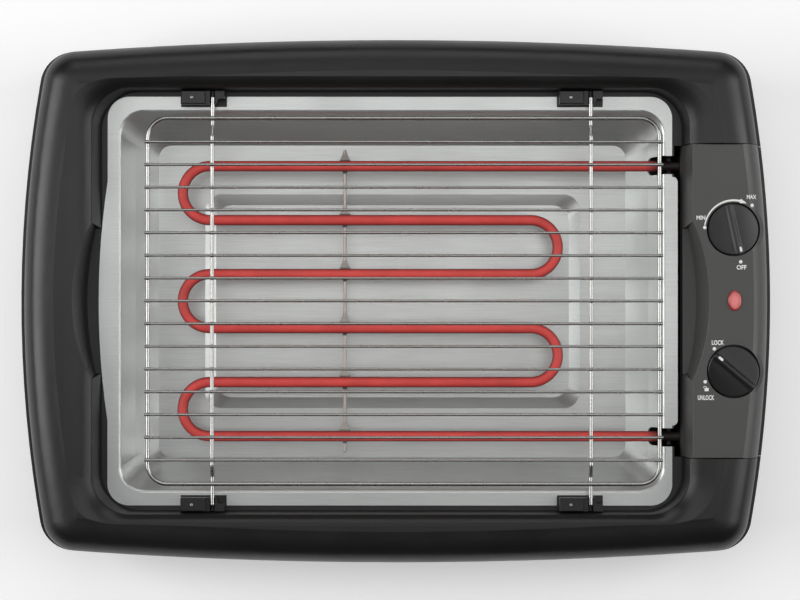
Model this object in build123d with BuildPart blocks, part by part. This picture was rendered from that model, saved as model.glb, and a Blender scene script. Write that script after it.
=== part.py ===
"""Electric barbecue grill: a moulded body, a lift-out drip tray, a heating unit with its control
box, and a wire grate. Millimetres, +Z up. The origin lies on the table, under the middle of the
body. The control box is on the right (+X), and the user stands at -Y.
"""
from build123d import *
from math import cos, radians, sin
import os

os.makedirs("parts", exist_ok=True)

# Body: its outline is a rounded rectangle with bowed sides, drawn in towards floor and crown
body_length = 541.0
body_width = 376.6
side_bulge = 17.4
end_bulge = 9.7
body_corner_radius = 25.0
least_corner_radius = 4.0
wall = 2.5
foot_height = 6.0
parting_height = 59.0
crown_height = 88.0
side_step = 3.2
frame_curve = (
    (0.0, 0.0),
    (0.31, 0.8),
    (0.59, 3.0),
    (0.79, 7.0),
    (0.91, 12.0),
    (0.97, 18.0),
    (1.0, 25.0),
)
base_curve = ((0.0, 17.0), (0.04, 12.5), (0.15, 8.0), (0.45, 3.6), (1.0, 0.0))

# Well in the top frame, placed at its rounded lip by the width of the rim around it
left_rim = 54.5
right_rim = 62.0
end_rim = 36.8
well_corner_radius = 27.0
lip_drop = 6.0
well_draft_left = 4.5
well_draft_right = 2.5
well_draft_ends = 1.0
crest_run_sides = 22.0
crest_run_ends = 9.0
crest_curve = ((0.0, 0.0), (0.45, 0.22), (0.78, 0.48), (0.96, 0.75), (1.06, 1.02))
lip_rounding = 2.0
ledge_rise = 5.0
ledge_lap = 2.5

# Finger scoops in the left rim and in the control box
scoop_half_length = 57.0
scoop_depth = 13.0
scoop_foot_half_length = 52.0
scoop_foot_depth = 6.0
scoop_back = 8.0
scoop_rounding = 0.8

# Ribs, vents, bosses and screws of the body
rib_thick = 2.0
rib_height = 4.0
rib_pitch_x = 80.0
rib_pitch_y = 95.0
rib_end_margin = 1.5
vent_length = 44.0
vent_width = 5.0
vent_group_pitch_x = 80.0
vent_group_pitch_y = 95.0
vent_pitch = 14.0
screw_rim_margin = 12.5
screw_end_margin = 31.0
screw_left_margin = 27.0
base_boss_diameter = 11.0
frame_boss_diameter = 8.0
boss_sink = 0.8
screw_head_diameter = 7.0
screw_diameter = 3.5
screw_head_height = 2.4
screw_seat_depth = 10.0
screw_bite = 12.0
floor_sink = 0.5

# Rubber feet
foot_inset_x = 65.5
foot_inset_y = 58.3
foot_diameter = 22.0
foot_chamfer = 1.2
foot_recess = 1.5
foot_boss_diameter = 16.0
foot_boss_height = 8.0
foot_screw_diameter = 3.6
foot_screw_head = 9.0
foot_screw_seat = 4.5
foot_screw_bite = 8.0

# Clearances and a cutter's overrun
hole_gap = 0.2
thread_gap = 0.05
running_fit = 0.05
weld_gap = 0.05
seat_clearance = 0.3
foot_gap = 0.3
fit_gap = 0.4
overrun = 1.0
cutter_headroom = 20.0

# Drip tray, placed inside the well
sheet = 0.8
skin = 0.9
tray_margin_left = 17.0
tray_margin_right = 15.0
tray_margin_ends = 14.3
tray_fold_radius = 17.0
tray_gap = 2.5
fold_rounding = 1.6
waist_depth = 19.0
waist_in_sides = 8.3
waist_in_ends = 9.4
waist_radius = 13.0
tray_depth = 42.0
floor_in_sides = 22.4
floor_in_ends = 20.8
tray_floor_radius = 9.5
flange_margin_left = 8.7
flange_margin_right = 9.6
flange_margin_ends = 4.5
flange_radius = 15.5
flange_bow = 6.4
flange_bow_half_length = 86.0
flange_tab = 4.0
flange_tab_inset = 22.0
leg_notch_width = 13.2
leg_notch_drop = 8.5
emboss_margin_left = 56.0
emboss_margin_right = 55.5
emboss_margin_ends = 56.2
emboss_rise = 4.0
emboss_slope = 10.0
emboss_radius = 12.0

# Control box, in its bay at the right end
box_width = 65.0
box_half_width = 111.5
box_drop = 2.0
box_floor = 14.0
box_lean = 0.18
cover_rounding = 0.85
partition_gap = 4.5
bay_mouth = 42.5
bay_post_diameter = 10.0
bay_post_x = (56.5, 34.5)
bay_post_y = (51.5, 31.5)
box_screw_x = (53.5, 27.5)
box_screw_y = (35.5, 11.5)
box_boss_diameter = 10.0

# Heating element: its legs enter the box beside its corners
element_diameter = 6.6
element_drop = 12.0
run_count = 6
leg_inset = 13.5
bend_margin_left = 64.0
bend_margin_right = 95.5
element_reach = 10.5
leg_hole_gap = 0.5

# Element support under the runs
support_x = -37.0
support_wire = 2.4
support_reach = 12.0
clip_width = 6.0
support_tip_rounding = 0.75
clip_sheet = 0.6

# Heat shield, clamps and terminals of the element
shield_margin = 5.5
shield_drop = 1.0
clamp_size = 11.0
clamp_radius = 2.0
clamp_thick = 2.0
terminal_pin = 2.6
insulator_length = 5.0
insulator_inset = 0.6
pin_reach = 8.0

# Wire grate, placed over the tray
grate_wire = 3.0
rod_wire = 2.0
grate_lift = 12.0
grate_margin_left = 22.0
grate_margin_right = 5.1
grate_margin_ends = 6.7
grate_corner_radius = 14.0
rod_count = 15
rod_end_margin = 17.1
rod_overhang = 2.2
bar_margin_left = 46.0
bar_margin_right = 48.9
bar_end_gap = 4.7
bar_joggle_inset = 12.5
bar_joggle_run = 7.0
bar_bend_radius = 5.0

# Grate brackets on the ledge
bracket_length = 31.0
bracket_width = 9.6
bracket_step_width = 5.6
bracket_step_run = 1.6
bracket_step_gap = 2.6
bracket_block_length = 17.5
bracket_seat_inset = 22.5
bracket_height = 13.0
bracket_shelf_height = 10.2
bracket_chamfer = 0.7
bracket_gap = 1.0
bracket_pin_inset = 8.0
bracket_pin_diameter = 2.4
bracket_pin_head = 0.4
bracket_pin_rounding = 0.5

# Knobs, shafts and the cam of the lock
knob_inset = 31.0
thermostat_y = 50.8
lock_y = -49.9
knob_diameter = 36.4
knob_rise = 2.4
knob_recess_depth = 7.0
knob_ring_gap = 0.9
knob_edge_radius = 0.8
knob_ridge_width = 2.6
knob_hollow = 5.2
knob_hollow_bend = 0.55
knob_hollow_sag = 0.82
knob_rim_drop = 0.9
knob_cap = 1.5
thermostat_rest_angle = 167.6
lock_rest_angle = -50.0
hub_diameter = 10.0
hub_length = 6.0
shaft_diameter = 6.0
shaft_flat_depth = 1.5
shaft_flat_length = 8.5
shaft_depth = 6.0
bearing_wall = 3.0
lock_bearing_height = 14.0
lock_cam_gap = 0.6
lock_cam_thick = 3.0
lock_shaft_tail = 1.2
lock_cam_angle = 205.0
cam_reach = 9.0
cam_tip_radius = 3.0

# Thermostat on its bracket plate
plate_drop = 18.0
plate_thick = 1.2
plate_width = 24.0
plate_length = 46.0
plate_radius = 3.0
plate_post_pitch = 38.0
plate_post_diameter = 7.0
thermostat_width = 24.0
thermostat_length = 28.0
thermostat_radius = 2.0
thermostat_depth = 18.0
bushing_diameter = 9.0
bushing_height = 5.0
blade_pitch = 14.0
blade_thick = 0.8
blade_width = 6.3
blade_length = 8.0
nut_across = 13.0
nut_height = 2.5

# Pilot lamp
lamp_inset = 30.3
lamp_y = 0.3
lamp_length = 14.6
lamp_width = 10.0
lamp_rise = 1.6
lamp_rounding = 1.44
lamp_flange = 1.0
lamp_flange_thick = 2.2
bulb_diameter = 5.0
bulb_length = 12.0

# Safety switch, its plunger, the terminal block and the gland of the mains lead
switch_inset = 38.5
switch_y = 4.0
switch_width = 12.0
switch_length = 22.0
switch_height = 16.0
switch_post_height = 2.0
switch_post_diameter = 8.0
plunger_diameter = 4.0
plunger_collar = 7.0
plunger_collar_height = 1.2
plunger_travel = 1.5
plunger_rounding = 0.8
block_y = 50.0
block_width = 16.0
block_length = 30.0
block_height = 12.0
block_pitch = 9.0
block_bore = 3.4
gland_inset_y = 33.5
gland_z = 34.0
gland_diameter = 12.0
gland_bore = 7.0
gland_inset_x = 12.5
gland_length = 9.0
gland_lip = 1.5

# Body, well and ledge, worked out from the sizes above
half_length = body_length / 2
half_width = body_width / 2
floor_top = foot_height + wall
lip_height = crown_height - lip_drop
ledge_height = parting_height + ledge_rise
top_z = crown_height + cutter_headroom
well_left = left_rim - half_length
well_right = half_length - right_rim
well_half_width = half_width - end_rim
frame_rise = [
    (parting_height + share * (crown_height - parting_height), inset) for share, inset in frame_curve
]
base_rise = [
    (foot_height + share * (parting_height - foot_height), inset) for share, inset in base_curve
]
screw_y = well_half_width + screw_rim_margin
screw_places = [
    (x, side * screw_y)
    for x in (well_left + screw_end_margin, 0.0, well_right - screw_end_margin)
    for side in (1, -1)
]
screw_places.append((well_left - screw_left_margin, 0.0))
frame_boss_top = crown_height - wall + boss_sink
foot_x = half_length - foot_inset_x
foot_y = half_width - foot_inset_y
foot_places = {
    "foot_back_left": (-foot_x, foot_y),
    "foot_back_right": (foot_x, foot_y),
    "foot_front_left": (-foot_x, -foot_y),
    "foot_front_right": (foot_x, -foot_y),
}

# Tray
tray_left = well_left + tray_margin_left
tray_right = well_right - tray_margin_right
tray_half_width = well_half_width - tray_margin_ends
tray_waist_height = ledge_height - waist_depth
tray_floor_height = ledge_height - tray_depth
flange_left = well_left + flange_margin_left
flange_right = well_right - flange_margin_right
flange_half_width = well_half_width - flange_margin_ends
flange_top = ledge_height + sheet
flange_tab_half_length = box_half_width - flange_tab_inset
ledge_left = tray_left - ledge_lap
ledge_right = tray_right + ledge_lap
ledge_half_width = tray_half_width + ledge_lap
emboss_left = tray_left + emboss_margin_left
emboss_right = tray_right - emboss_margin_right
emboss_half_width = tray_half_width - emboss_margin_ends

# Control box and its bay
box_left = half_length - box_width
box_top = crown_height - box_drop
curb_height = box_floor - fit_gap
scoop_edge = box_left + box_lean * (box_top - parting_height)
partition_left = tray_right + partition_gap
partition_right = partition_left + wall
bay_half_width = box_half_width + fit_gap
bay_post_places = [
    (half_length - x, side * (box_half_width - y))
    for x, y in zip(bay_post_x, bay_post_y)
    for side in (1, -1)
]
box_screw_places = [
    (half_length - x, side * (box_half_width - y))
    for x, y in zip(box_screw_x, box_screw_y)
    for side in (1, -1)
]
knob_x = half_length - knob_inset
knob_top = box_top + knob_rise
knob_low = box_top - knob_recess_depth + seat_clearance
knob_places = ((knob_x, thermostat_y), (knob_x, lock_y))
shaft_top_z = knob_top - knob_hollow - knob_cap
lock_cam_top = box_floor - lock_cam_gap
plate_z = box_top - plate_drop
plate_post_places = [
    (knob_x, thermostat_y - plate_post_pitch / 2),
    (knob_x, thermostat_y + plate_post_pitch / 2),
]
lamp_x = half_length - lamp_inset
lamp_seat = box_top - wall - lamp_flange_thick
switch_x = half_length - switch_inset
switch_floor = box_floor + wall
gland_y = box_half_width - gland_inset_y
gland_start = half_length - gland_inset_x

# Heating element
element_radius = element_diameter / 2
element_height = ledge_height - element_drop
leg_y = box_half_width - leg_inset
run_pitch = 2 * leg_y / (run_count - 1)
leg_notch_floor = element_height - leg_notch_drop
element_left_bend = tray_left + bend_margin_left
element_right_bend = tray_right - bend_margin_right
element_end = box_left + element_reach
support_z = element_height - element_radius - weld_gap - support_wire / 2
support_half_length = leg_y + support_reach

# Grate and its brackets
grate_height = ledge_height + grate_lift
grate_left = tray_left + grate_margin_left
grate_right = tray_right - grate_margin_right
grate_half_width = tray_half_width - grate_margin_ends
rod_pitch = 2 * (grate_half_width - rod_end_margin) / (rod_count - 1)
rod_z = grate_height + (grate_wire + rod_wire) / 2 + weld_gap
bar_left_x = grate_left + bar_margin_left
bar_right_x = grate_right - bar_margin_right
bar_low_z = grate_height - grate_wire - weld_gap
bracket_edge_y = well_half_width - well_draft_ends - seat_clearance
bar_half_length = bracket_edge_y - bar_end_gap
bar_joggle_start = grate_half_width - bar_joggle_inset
bar_joggle_end = bar_joggle_start + bar_joggle_run
bracket_places = {
    "bracket_back_left": (bar_left_x, 1),
    "bracket_back_right": (bar_right_x, 1),
    "bracket_front_left": (bar_left_x, -1),
    "bracket_front_right": (bar_right_x, -1),
}
bracket_pin_places = [
    (seat_x - bracket_seat_inset + bracket_pin_inset, side * (bracket_edge_y - bracket_width / 2))
    for seat_x, side in bracket_places.values()
]


def body_slice(height, inset, step=0.0):
    """Adds one barrel-shaped slice of the body, drawn in all round by inset."""
    x = half_length - side_bulge - inset - step
    y = half_width - end_bulge - inset
    with BuildSketch(Plane.XY.offset(height)) as slice_sketch:
        with BuildLine():
            ThreePointArc((-x, -y), (0, -y - end_bulge), (x, -y))
            ThreePointArc((x, -y), (x + side_bulge, 0), (x, y))
            ThreePointArc((x, y), (0, y + end_bulge), (-x, y))
            ThreePointArc((-x, y), (-x - side_bulge, 0), (-x, -y))
        make_face()
        fillet(slice_sketch.vertices(), max(body_corner_radius - inset, least_corner_radius))
    add(slice_sketch.sketch)


def well_slice(height, left_run, right_run, end_run, radius):
    """Adds one rounded rectangle of the well, widened by the given runs."""
    left = well_left - left_run
    right = well_right + right_run
    with BuildSketch(Plane.XY.offset(height)) as slice_sketch:
        with Locations(((left + right) / 2, 0)):
            RectangleRounded(right - left, 2 * (well_half_width + end_run), radius)
    add(slice_sketch.sketch)


def well(grow, drop, mode):
    """Adds or cuts the well: drafted walls up to the lip, then a shallow funnel to the crest."""
    well_slice(
        ledge_height - drop,
        grow - well_draft_left,
        grow - well_draft_right,
        grow - well_draft_ends,
        well_corner_radius,
    )
    well_slice(lip_height - drop, grow, grow, grow, well_corner_radius)
    loft(ruled=True, mode=mode)
    for rise, run in crest_curve:
        well_slice(
            lip_height - drop + rise * (crown_height - lip_height),
            grow + run * crest_run_sides,
            grow + run * crest_run_sides,
            grow + run * crest_run_ends,
            well_corner_radius + run * crest_run_ends,
        )
    loft(mode=mode)


def body_form(rise, inset, top_drop, bottom_lift, step=0.0):
    """Adds the barrel-shaped form through the given heights, as a skin lies inside it."""
    low = rise[0][0]
    high = rise[-1][0]
    for height, edge in rise:
        share = (height - low) / (high - low)
        body_slice(height + bottom_lift * (1 - share) - top_drop * share, edge + inset, step)
    loft()


def slab(left, right, front, back, low, high, mode=Mode.ADD):
    """Adds or cuts a block between the given limits."""
    centre = ((left + right) / 2, (front + back) / 2, (low + high) / 2)
    with Locations(centre):
        Box(right - left, back - front, high - low, mode=mode)


def scoop(edge_x, outward, grow, low, mode):
    """Adds or cuts the finger scoop that opens from edge_x towards outward (+1 or -1)."""
    for height, half, depth in (
        (crown_height + overrun, scoop_half_length + grow, scoop_depth + grow),
        (low, scoop_foot_half_length + grow, scoop_foot_depth + grow),
    ):
        inner = edge_x - outward * scoop_back
        with BuildSketch(Plane.XY.offset(height)) as slice_sketch:
            with BuildLine():
                ThreePointArc((edge_x, -half), (edge_x + outward * depth, 0), (edge_x, half))
                Polyline((edge_x, half), (inner, half), (inner, -half), (edge_x, -half))
            make_face()
        add(slice_sketch.sketch)
    loft(ruled=True, mode=mode)


# Base pan: the lower moulding with its floor, outer wall, bay for the control box and bosses
with BuildPart() as base_cavity:
    body_form(base_rise, wall, 0.0, wall)

# Side walls of the bay, cut from the body's own form
with BuildPart() as bay_walls:
    body_form(base_rise, 0.0, 0.0, 0.0)
    slab(
        partition_left,
        half_length + overrun,
        -bay_half_width - wall,
        bay_half_width + wall,
        foot_height,
        parting_height,
        Mode.INTERSECT,
    )
    slab(0, half_length + overrun, -bay_half_width, bay_half_width, 0, top_z, Mode.SUBTRACT)

with BuildPart() as base_pan:
    body_form(base_rise, 0.0, 0.0, 0.0)
    add(base_cavity.part, mode=Mode.SUBTRACT)
    add(bay_walls.part)
    # Opening in the right wall for the control box, down to a low curb
    slab(
        half_length - bay_mouth,
        half_length + overrun,
        -bay_half_width,
        bay_half_width,
        curb_height,
        top_z,
        Mode.SUBTRACT,
    )
    # Wall between the well and the bay, which carries the right edge of the tray
    slab(
        partition_left,
        partition_right,
        -bay_half_width,
        bay_half_width,
        floor_top - floor_sink,
        ledge_height,
    )
    for side in (-1, 1):
        # Notch that the element's leg drops into
        notch_y = side * leg_y
        slab(
            partition_left - overrun,
            partition_right + overrun,
            notch_y - leg_notch_width / 2,
            notch_y + leg_notch_width / 2,
            leg_notch_floor,
            top_z,
            Mode.SUBTRACT,
        )
    # Posts that carry the control box
    with BuildSketch(Plane.XY.offset(floor_top - floor_sink)):
        with Locations(bay_post_places):
            Circle(bay_post_diameter / 2)
    extrude(amount=box_floor - floor_top + floor_sink)
    # Post that presses the safety switch
    with BuildSketch(Plane.XY.offset(floor_top - floor_sink)):
        with Locations((switch_x, switch_y)):
            Circle(switch_post_diameter / 2)
    extrude(amount=switch_post_height + floor_sink)
    # Screw bosses up to the parting line, and short bosses over the feet
    with BuildSketch(Plane.XY.offset(floor_top - floor_sink)):
        with Locations(screw_places):
            Circle(base_boss_diameter / 2)
    extrude(amount=parting_height - floor_top + floor_sink)
    with BuildSketch(Plane.XY.offset(floor_top - floor_sink)):
        with Locations(list(foot_places.values())):
            Circle(foot_boss_diameter / 2)
    extrude(amount=foot_boss_height + floor_sink)
    # Stiffening ribs across the floor
    for rib_x in (-2 * rib_pitch_x, -rib_pitch_x, 0.0, rib_pitch_x, 2 * rib_pitch_x):
        slab(
            rib_x - rib_thick / 2,
            rib_x + rib_thick / 2,
            rib_end_margin - well_half_width,
            well_half_width - rib_end_margin,
            floor_top - floor_sink,
            floor_top + rib_height,
        )
    for rib_y in (-rib_pitch_y, 0.0, rib_pitch_y):
        slab(
            well_left,
            partition_left + floor_sink,
            rib_y - rib_thick / 2,
            rib_y + rib_thick / 2,
            floor_top - floor_sink,
            floor_top + rib_height,
        )
    # Ventilation slots in the floor
    with BuildSketch(Plane.XY.offset(foot_height - overrun)):
        with GridLocations(vent_group_pitch_x, vent_group_pitch_y, 4, 2):
            with GridLocations(0, vent_pitch, 1, 3):
                SlotOverall(vent_length, vent_width)
    extrude(amount=wall + overrun + floor_sink, mode=Mode.SUBTRACT)
    # Holes for the long screws: a wide bore from below, then a narrow one
    with BuildSketch(Plane.XY.offset(foot_height - overrun)):
        with Locations(screw_places):
            Circle(screw_head_diameter / 2 + hole_gap)
    extrude(amount=parting_height - screw_seat_depth - foot_height + overrun, mode=Mode.SUBTRACT)
    with BuildSketch(Plane.XY.offset(foot_height - overrun)):
        with Locations(screw_places):
            Circle(screw_diameter / 2 + hole_gap)
    extrude(amount=top_z, mode=Mode.SUBTRACT)
    # Recess and pilot hole for each foot
    with BuildSketch(Plane.XY.offset(foot_height)):
        with Locations(list(foot_places.values())):
            Circle(foot_diameter / 2 + foot_gap)
    extrude(amount=foot_recess, mode=Mode.SUBTRACT)
    with BuildSketch(Plane.XY.offset(foot_height)):
        with Locations(list(foot_places.values())):
            Circle(foot_screw_diameter / 2 + thread_gap)
    extrude(amount=foot_recess + foot_screw_bite + floor_sink, mode=Mode.SUBTRACT)
base_pan.part.label = "base_pan"
export_step(base_pan.part, "parts/base_pan.step")

# Top frame: the domed C-shaped upper moulding with the well, its ledge and the finger scoop
with BuildPart() as frame_cavity:
    body_form(frame_rise, wall, wall, 0.0, side_step)
    well(wall, wall, Mode.SUBTRACT)
    scoop(well_left, -1, wall, ledge_height - wall, Mode.SUBTRACT)
    slab(
        ledge_right - wall,
        half_length + overrun,
        -bay_half_width - wall,
        bay_half_width + wall,
        parting_height - overrun,
        top_z,
        Mode.SUBTRACT,
    )

with BuildPart() as top_frame:
    body_form(frame_rise, 0.0, 0.0, 0.0, side_step)
    add(frame_cavity.part, mode=Mode.SUBTRACT)
    well(0.0, 0.0, Mode.SUBTRACT)
    lip = top_frame.edges().filter_by_position(
        Axis.Z,
        lip_height - thread_gap,
        lip_height + thread_gap,
    )
    fillet(lip, lip_rounding)
    scoop(well_left, -1, 0.0, ledge_height, Mode.SUBTRACT)
    scoop_edges = (
        top_frame.edges()
        .filter_by_position(Axis.X, well_left - scoop_depth - overrun, well_left - hole_gap)
        .filter_by_position(Axis.Y, -scoop_half_length, scoop_half_length)
        .filter_by_position(Axis.Z, lip_height - overrun, crown_height)
    )
    fillet(scoop_edges, scoop_rounding)
    # Opening inside the ledge for the bowl of the drip tray
    with BuildSketch(Plane.XY.offset(parting_height - overrun)):
        with Locations(((ledge_left + ledge_right) / 2, 0)):
            RectangleRounded(
                ledge_right - ledge_left,
                2 * ledge_half_width,
                tray_fold_radius + tray_gap,
            )
    extrude(amount=ledge_rise + 2 * overrun, mode=Mode.SUBTRACT)
    # Gap in the right side for the control box
    slab(
        ledge_right - overrun,
        half_length + overrun,
        -bay_half_width,
        bay_half_width,
        parting_height - overrun,
        top_z,
        Mode.SUBTRACT,
    )
    # Screw bosses that stand on those of the base pan, each let into the skin by itself
    for place in screw_places:
        with BuildSketch(Plane.XY.offset(parting_height)):
            with Locations(place):
                Circle(frame_boss_diameter / 2)
        extrude(amount=frame_boss_top - parting_height)
    with BuildSketch(Plane.XY.offset(parting_height)):
        with Locations(screw_places):
            Circle(screw_diameter / 2 + thread_gap)
    extrude(amount=screw_bite + floor_sink, mode=Mode.SUBTRACT)
    # Pin holes of the grate brackets
    with BuildSketch(Plane.XY.offset(ledge_height - wall - overrun)):
        with Locations(bracket_pin_places):
            Circle(bracket_pin_diameter / 2 + thread_gap)
    extrude(amount=wall + 2 * overrun, mode=Mode.SUBTRACT)
top_frame.part.label = "top_frame"
export_step(top_frame.part, "parts/top_frame.step")

# Long screws that hold the top frame to the base pan, driven up from below
with BuildPart() as frame_screws:
    with BuildSketch(Plane.XY.offset(parting_height - screw_seat_depth - screw_head_height)):
        with Locations(screw_places):
            Circle(screw_head_diameter / 2)
    extrude(amount=screw_head_height)
    with BuildSketch(Plane.XY.offset(parting_height - screw_seat_depth)):
        with Locations(screw_places):
            Circle(screw_diameter / 2)
    extrude(amount=screw_seat_depth + screw_bite)
frame_screws.part.label = "frame_screws"
export_step(frame_screws.part, "parts/frame_screws.step")

# Rubber feet, each a stepped disc with a recessed screw
for name, (x, y) in foot_places.items():
    with BuildPart() as foot:
        with BuildSketch() as foot_plan:
            with Locations((x, y)):
                Circle(foot_diameter / 2)
        extrude(amount=foot_height + foot_recess)
        chamfer(foot.edges().group_by(Axis.Z)[0], foot_chamfer)
        with BuildSketch():
            with Locations((x, y)):
                Circle(foot_screw_head / 2 + hole_gap)
        extrude(amount=foot_screw_seat, mode=Mode.SUBTRACT)
        with BuildSketch():
            with Locations((x, y)):
                Circle(foot_screw_diameter / 2 + hole_gap)
        extrude(amount=foot_height + foot_recess, mode=Mode.SUBTRACT)
    foot.part.label = name
    export_step(foot.part, f"parts/{name}.step")

with BuildPart() as foot_screws:
    with BuildSketch(Plane.XY.offset(foot_screw_seat - screw_head_height)):
        with Locations(list(foot_places.values())):
            Circle(foot_screw_head / 2)
    extrude(amount=screw_head_height)
    with BuildSketch(Plane.XY.offset(foot_screw_seat)):
        with Locations(list(foot_places.values())):
            Circle(foot_screw_diameter / 2)
    extrude(amount=foot_height + foot_recess + foot_screw_bite - foot_screw_seat)
foot_screws.part.label = "foot_screws"
export_step(foot_screws.part, "parts/foot_screws.step")

# Grate brackets: stepped blocks on the ledge, each with a groove for one end of a grate bar
for name, (seat_x, side) in bracket_places.items():
    left = seat_x - bracket_seat_inset
    edge = side * bracket_edge_y
    step = seat_x + bracket_step_gap
    with BuildPart() as bracket:
        with BuildSketch(Plane.XY.offset(ledge_height)):
            with BuildLine():
                Polyline(
                    (left, edge),
                    (left, edge - side * bracket_width),
                    (step, edge - side * bracket_width),
                    (step + bracket_step_run, edge - side * bracket_step_width),
                    (left + bracket_length, edge - side * bracket_step_width),
                    (left + bracket_length, edge),
                    close=True,
                )
            make_face()
        extrude(amount=bracket_shelf_height)
        with BuildSketch(Plane.XY.offset(ledge_height + bracket_shelf_height)):
            with Locations((left + bracket_block_length / 2, edge - side * bracket_width / 2)):
                Rectangle(bracket_block_length, bracket_width)
        extrude(amount=bracket_height - bracket_shelf_height)
        chamfer(bracket.edges().group_by(Axis.Z)[-1], bracket_chamfer)
        # Groove for the bar, open at the top
        with BuildSketch(Plane.XZ.offset(-edge - side * overrun)):
            with Locations((seat_x, bar_low_z)):
                Circle(grate_wire / 2 + seat_clearance)
                Rectangle(
                    grate_wire + 2 * seat_clearance,
                    bracket_height,
                    align=(Align.CENTER, Align.MIN),
                )
        extrude(amount=side * (bracket_width + 2 * overrun), mode=Mode.SUBTRACT)
        # Hole for the pin
        with BuildSketch(Plane.XY.offset(ledge_height - overrun)):
            with Locations((left + bracket_pin_inset, edge - side * bracket_width / 2)):
                Circle(bracket_pin_diameter / 2 + thread_gap)
        extrude(amount=bracket_height + 2 * overrun, mode=Mode.SUBTRACT)
    bracket.part.label = name
    export_step(bracket.part, f"parts/{name}.step")

with BuildPart() as bracket_pins:
    with BuildSketch(Plane.XY.offset(ledge_height - wall)):
        with Locations(bracket_pin_places):
            Circle(bracket_pin_diameter / 2)
    extrude(amount=wall + bracket_height + bracket_pin_head)
    fillet(bracket_pins.edges().group_by(Axis.Z)[-1], bracket_pin_rounding)
bracket_pins.part.label = "bracket_pins"
export_step(bracket_pins.part, "parts/bracket_pins.step")


def tray_slice(height, in_sides, in_ends, radius):
    """Adds one rounded rectangle of the tray's bowl, drawn in from its fold."""
    left = tray_left + in_sides
    right = tray_right - in_sides
    with BuildSketch(Plane.XY.offset(height)) as slice_sketch:
        with Locations(((left + right) / 2, 0)):
            RectangleRounded(right - left, 2 * (tray_half_width - in_ends), radius)
    add(slice_sketch.sketch)


def emboss_slice(height, inset, radius):
    """Adds one rounded rectangle of the raised panel in the tray's floor."""
    with BuildSketch(Plane.XY.offset(height)) as slice_sketch:
        with Locations(((emboss_left + emboss_right) / 2, 0)):
            RectangleRounded(
                emboss_right - emboss_left - 2 * inset,
                2 * (emboss_half_width - inset),
                radius,
            )
    add(slice_sketch.sketch)


# Drip tray: a pressed sheet bowl with a flat rim, notches for the element and a raised panel
with BuildPart() as drip_tray:
    tray_slice(tray_floor_height - sheet, floor_in_sides, floor_in_ends, tray_floor_radius)
    tray_slice(tray_waist_height, waist_in_sides, waist_in_ends, waist_radius)
    tray_slice(ledge_height, 0, 0, tray_fold_radius)
    loft(ruled=True)
    with BuildSketch(Plane.XY.offset(ledge_height)) as flange:
        with Locations(((flange_left + flange_right) / 2, 0)):
            RectangleRounded(flange_right - flange_left, 2 * flange_half_width, flange_radius)
        with Locations((flange_right, 0)):
            RectangleRounded(
                2 * flange_tab,
                2 * flange_tab_half_length,
                flange_tab - thread_gap,
            )
        with BuildLine():
            ThreePointArc(
                (flange_left, -flange_bow_half_length),
                (flange_left - flange_bow, 0),
                (flange_left, flange_bow_half_length),
            )
            Line((flange_left, flange_bow_half_length), (flange_left, -flange_bow_half_length))
        make_face()
        for seat_x, side in bracket_places.values():
            cut_left = seat_x - bracket_seat_inset - bracket_gap
            cut_y = side * (bracket_edge_y - bracket_width - bracket_gap)
            with Locations((cut_left, cut_y)):
                Rectangle(
                    bracket_length + 2 * bracket_gap,
                    flange_half_width,
                    align=(Align.MIN, Align.MIN if side > 0 else Align.MAX),
                    mode=Mode.SUBTRACT,
                )
    extrude(amount=sheet)
    tray_slice(tray_floor_height, floor_in_sides + skin, floor_in_ends + skin, tray_floor_radius)
    tray_slice(
        tray_waist_height + sheet / 2,
        waist_in_sides + skin,
        waist_in_ends + skin,
        waist_radius,
    )
    tray_slice(flange_top, skin, skin, tray_fold_radius)
    loft(ruled=True, mode=Mode.SUBTRACT)
    # The fold, rounded above and below
    rim_top = drip_tray.faces().sort_by(Axis.Z)[-1]
    fillet(rim_top.inner_wires()[0].edges(), fold_rounding + sheet)
    rim_foot = drip_tray.faces().filter_by(Axis.Z).filter_by_position(
        Axis.Z,
        ledge_height - sheet / 4,
        ledge_height + sheet / 4,
    )[0]
    fillet(rim_foot.inner_wires()[0].edges(), fold_rounding)
    # Raised panel
    emboss_slice(tray_floor_height - sheet, 0, emboss_radius)
    emboss_slice(tray_floor_height + emboss_rise, emboss_slope, emboss_radius)
    loft(ruled=True)
    emboss_slice(tray_floor_height - sheet, 2 * skin, emboss_radius)
    emboss_slice(tray_floor_height - sheet + emboss_rise, emboss_slope + 2 * skin, emboss_radius)
    loft(ruled=True, mode=Mode.SUBTRACT)
    # Notches for the legs of the element
    notch_start = flange_right + flange_tab + overrun
    with BuildSketch(Plane.YZ.offset(notch_start)):
        for side in (-1, 1):
            with Locations((side * leg_y, leg_notch_floor + leg_notch_width / 2)):
                Circle(leg_notch_width / 2)
                Rectangle(leg_notch_width, tray_depth, align=(Align.CENTER, Align.MIN))
    extrude(amount=tray_right - floor_in_sides - notch_start, mode=Mode.SUBTRACT)
drip_tray.part.label = "drip_tray"
export_step(drip_tray.part, "parts/drip_tray.step")

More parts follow.
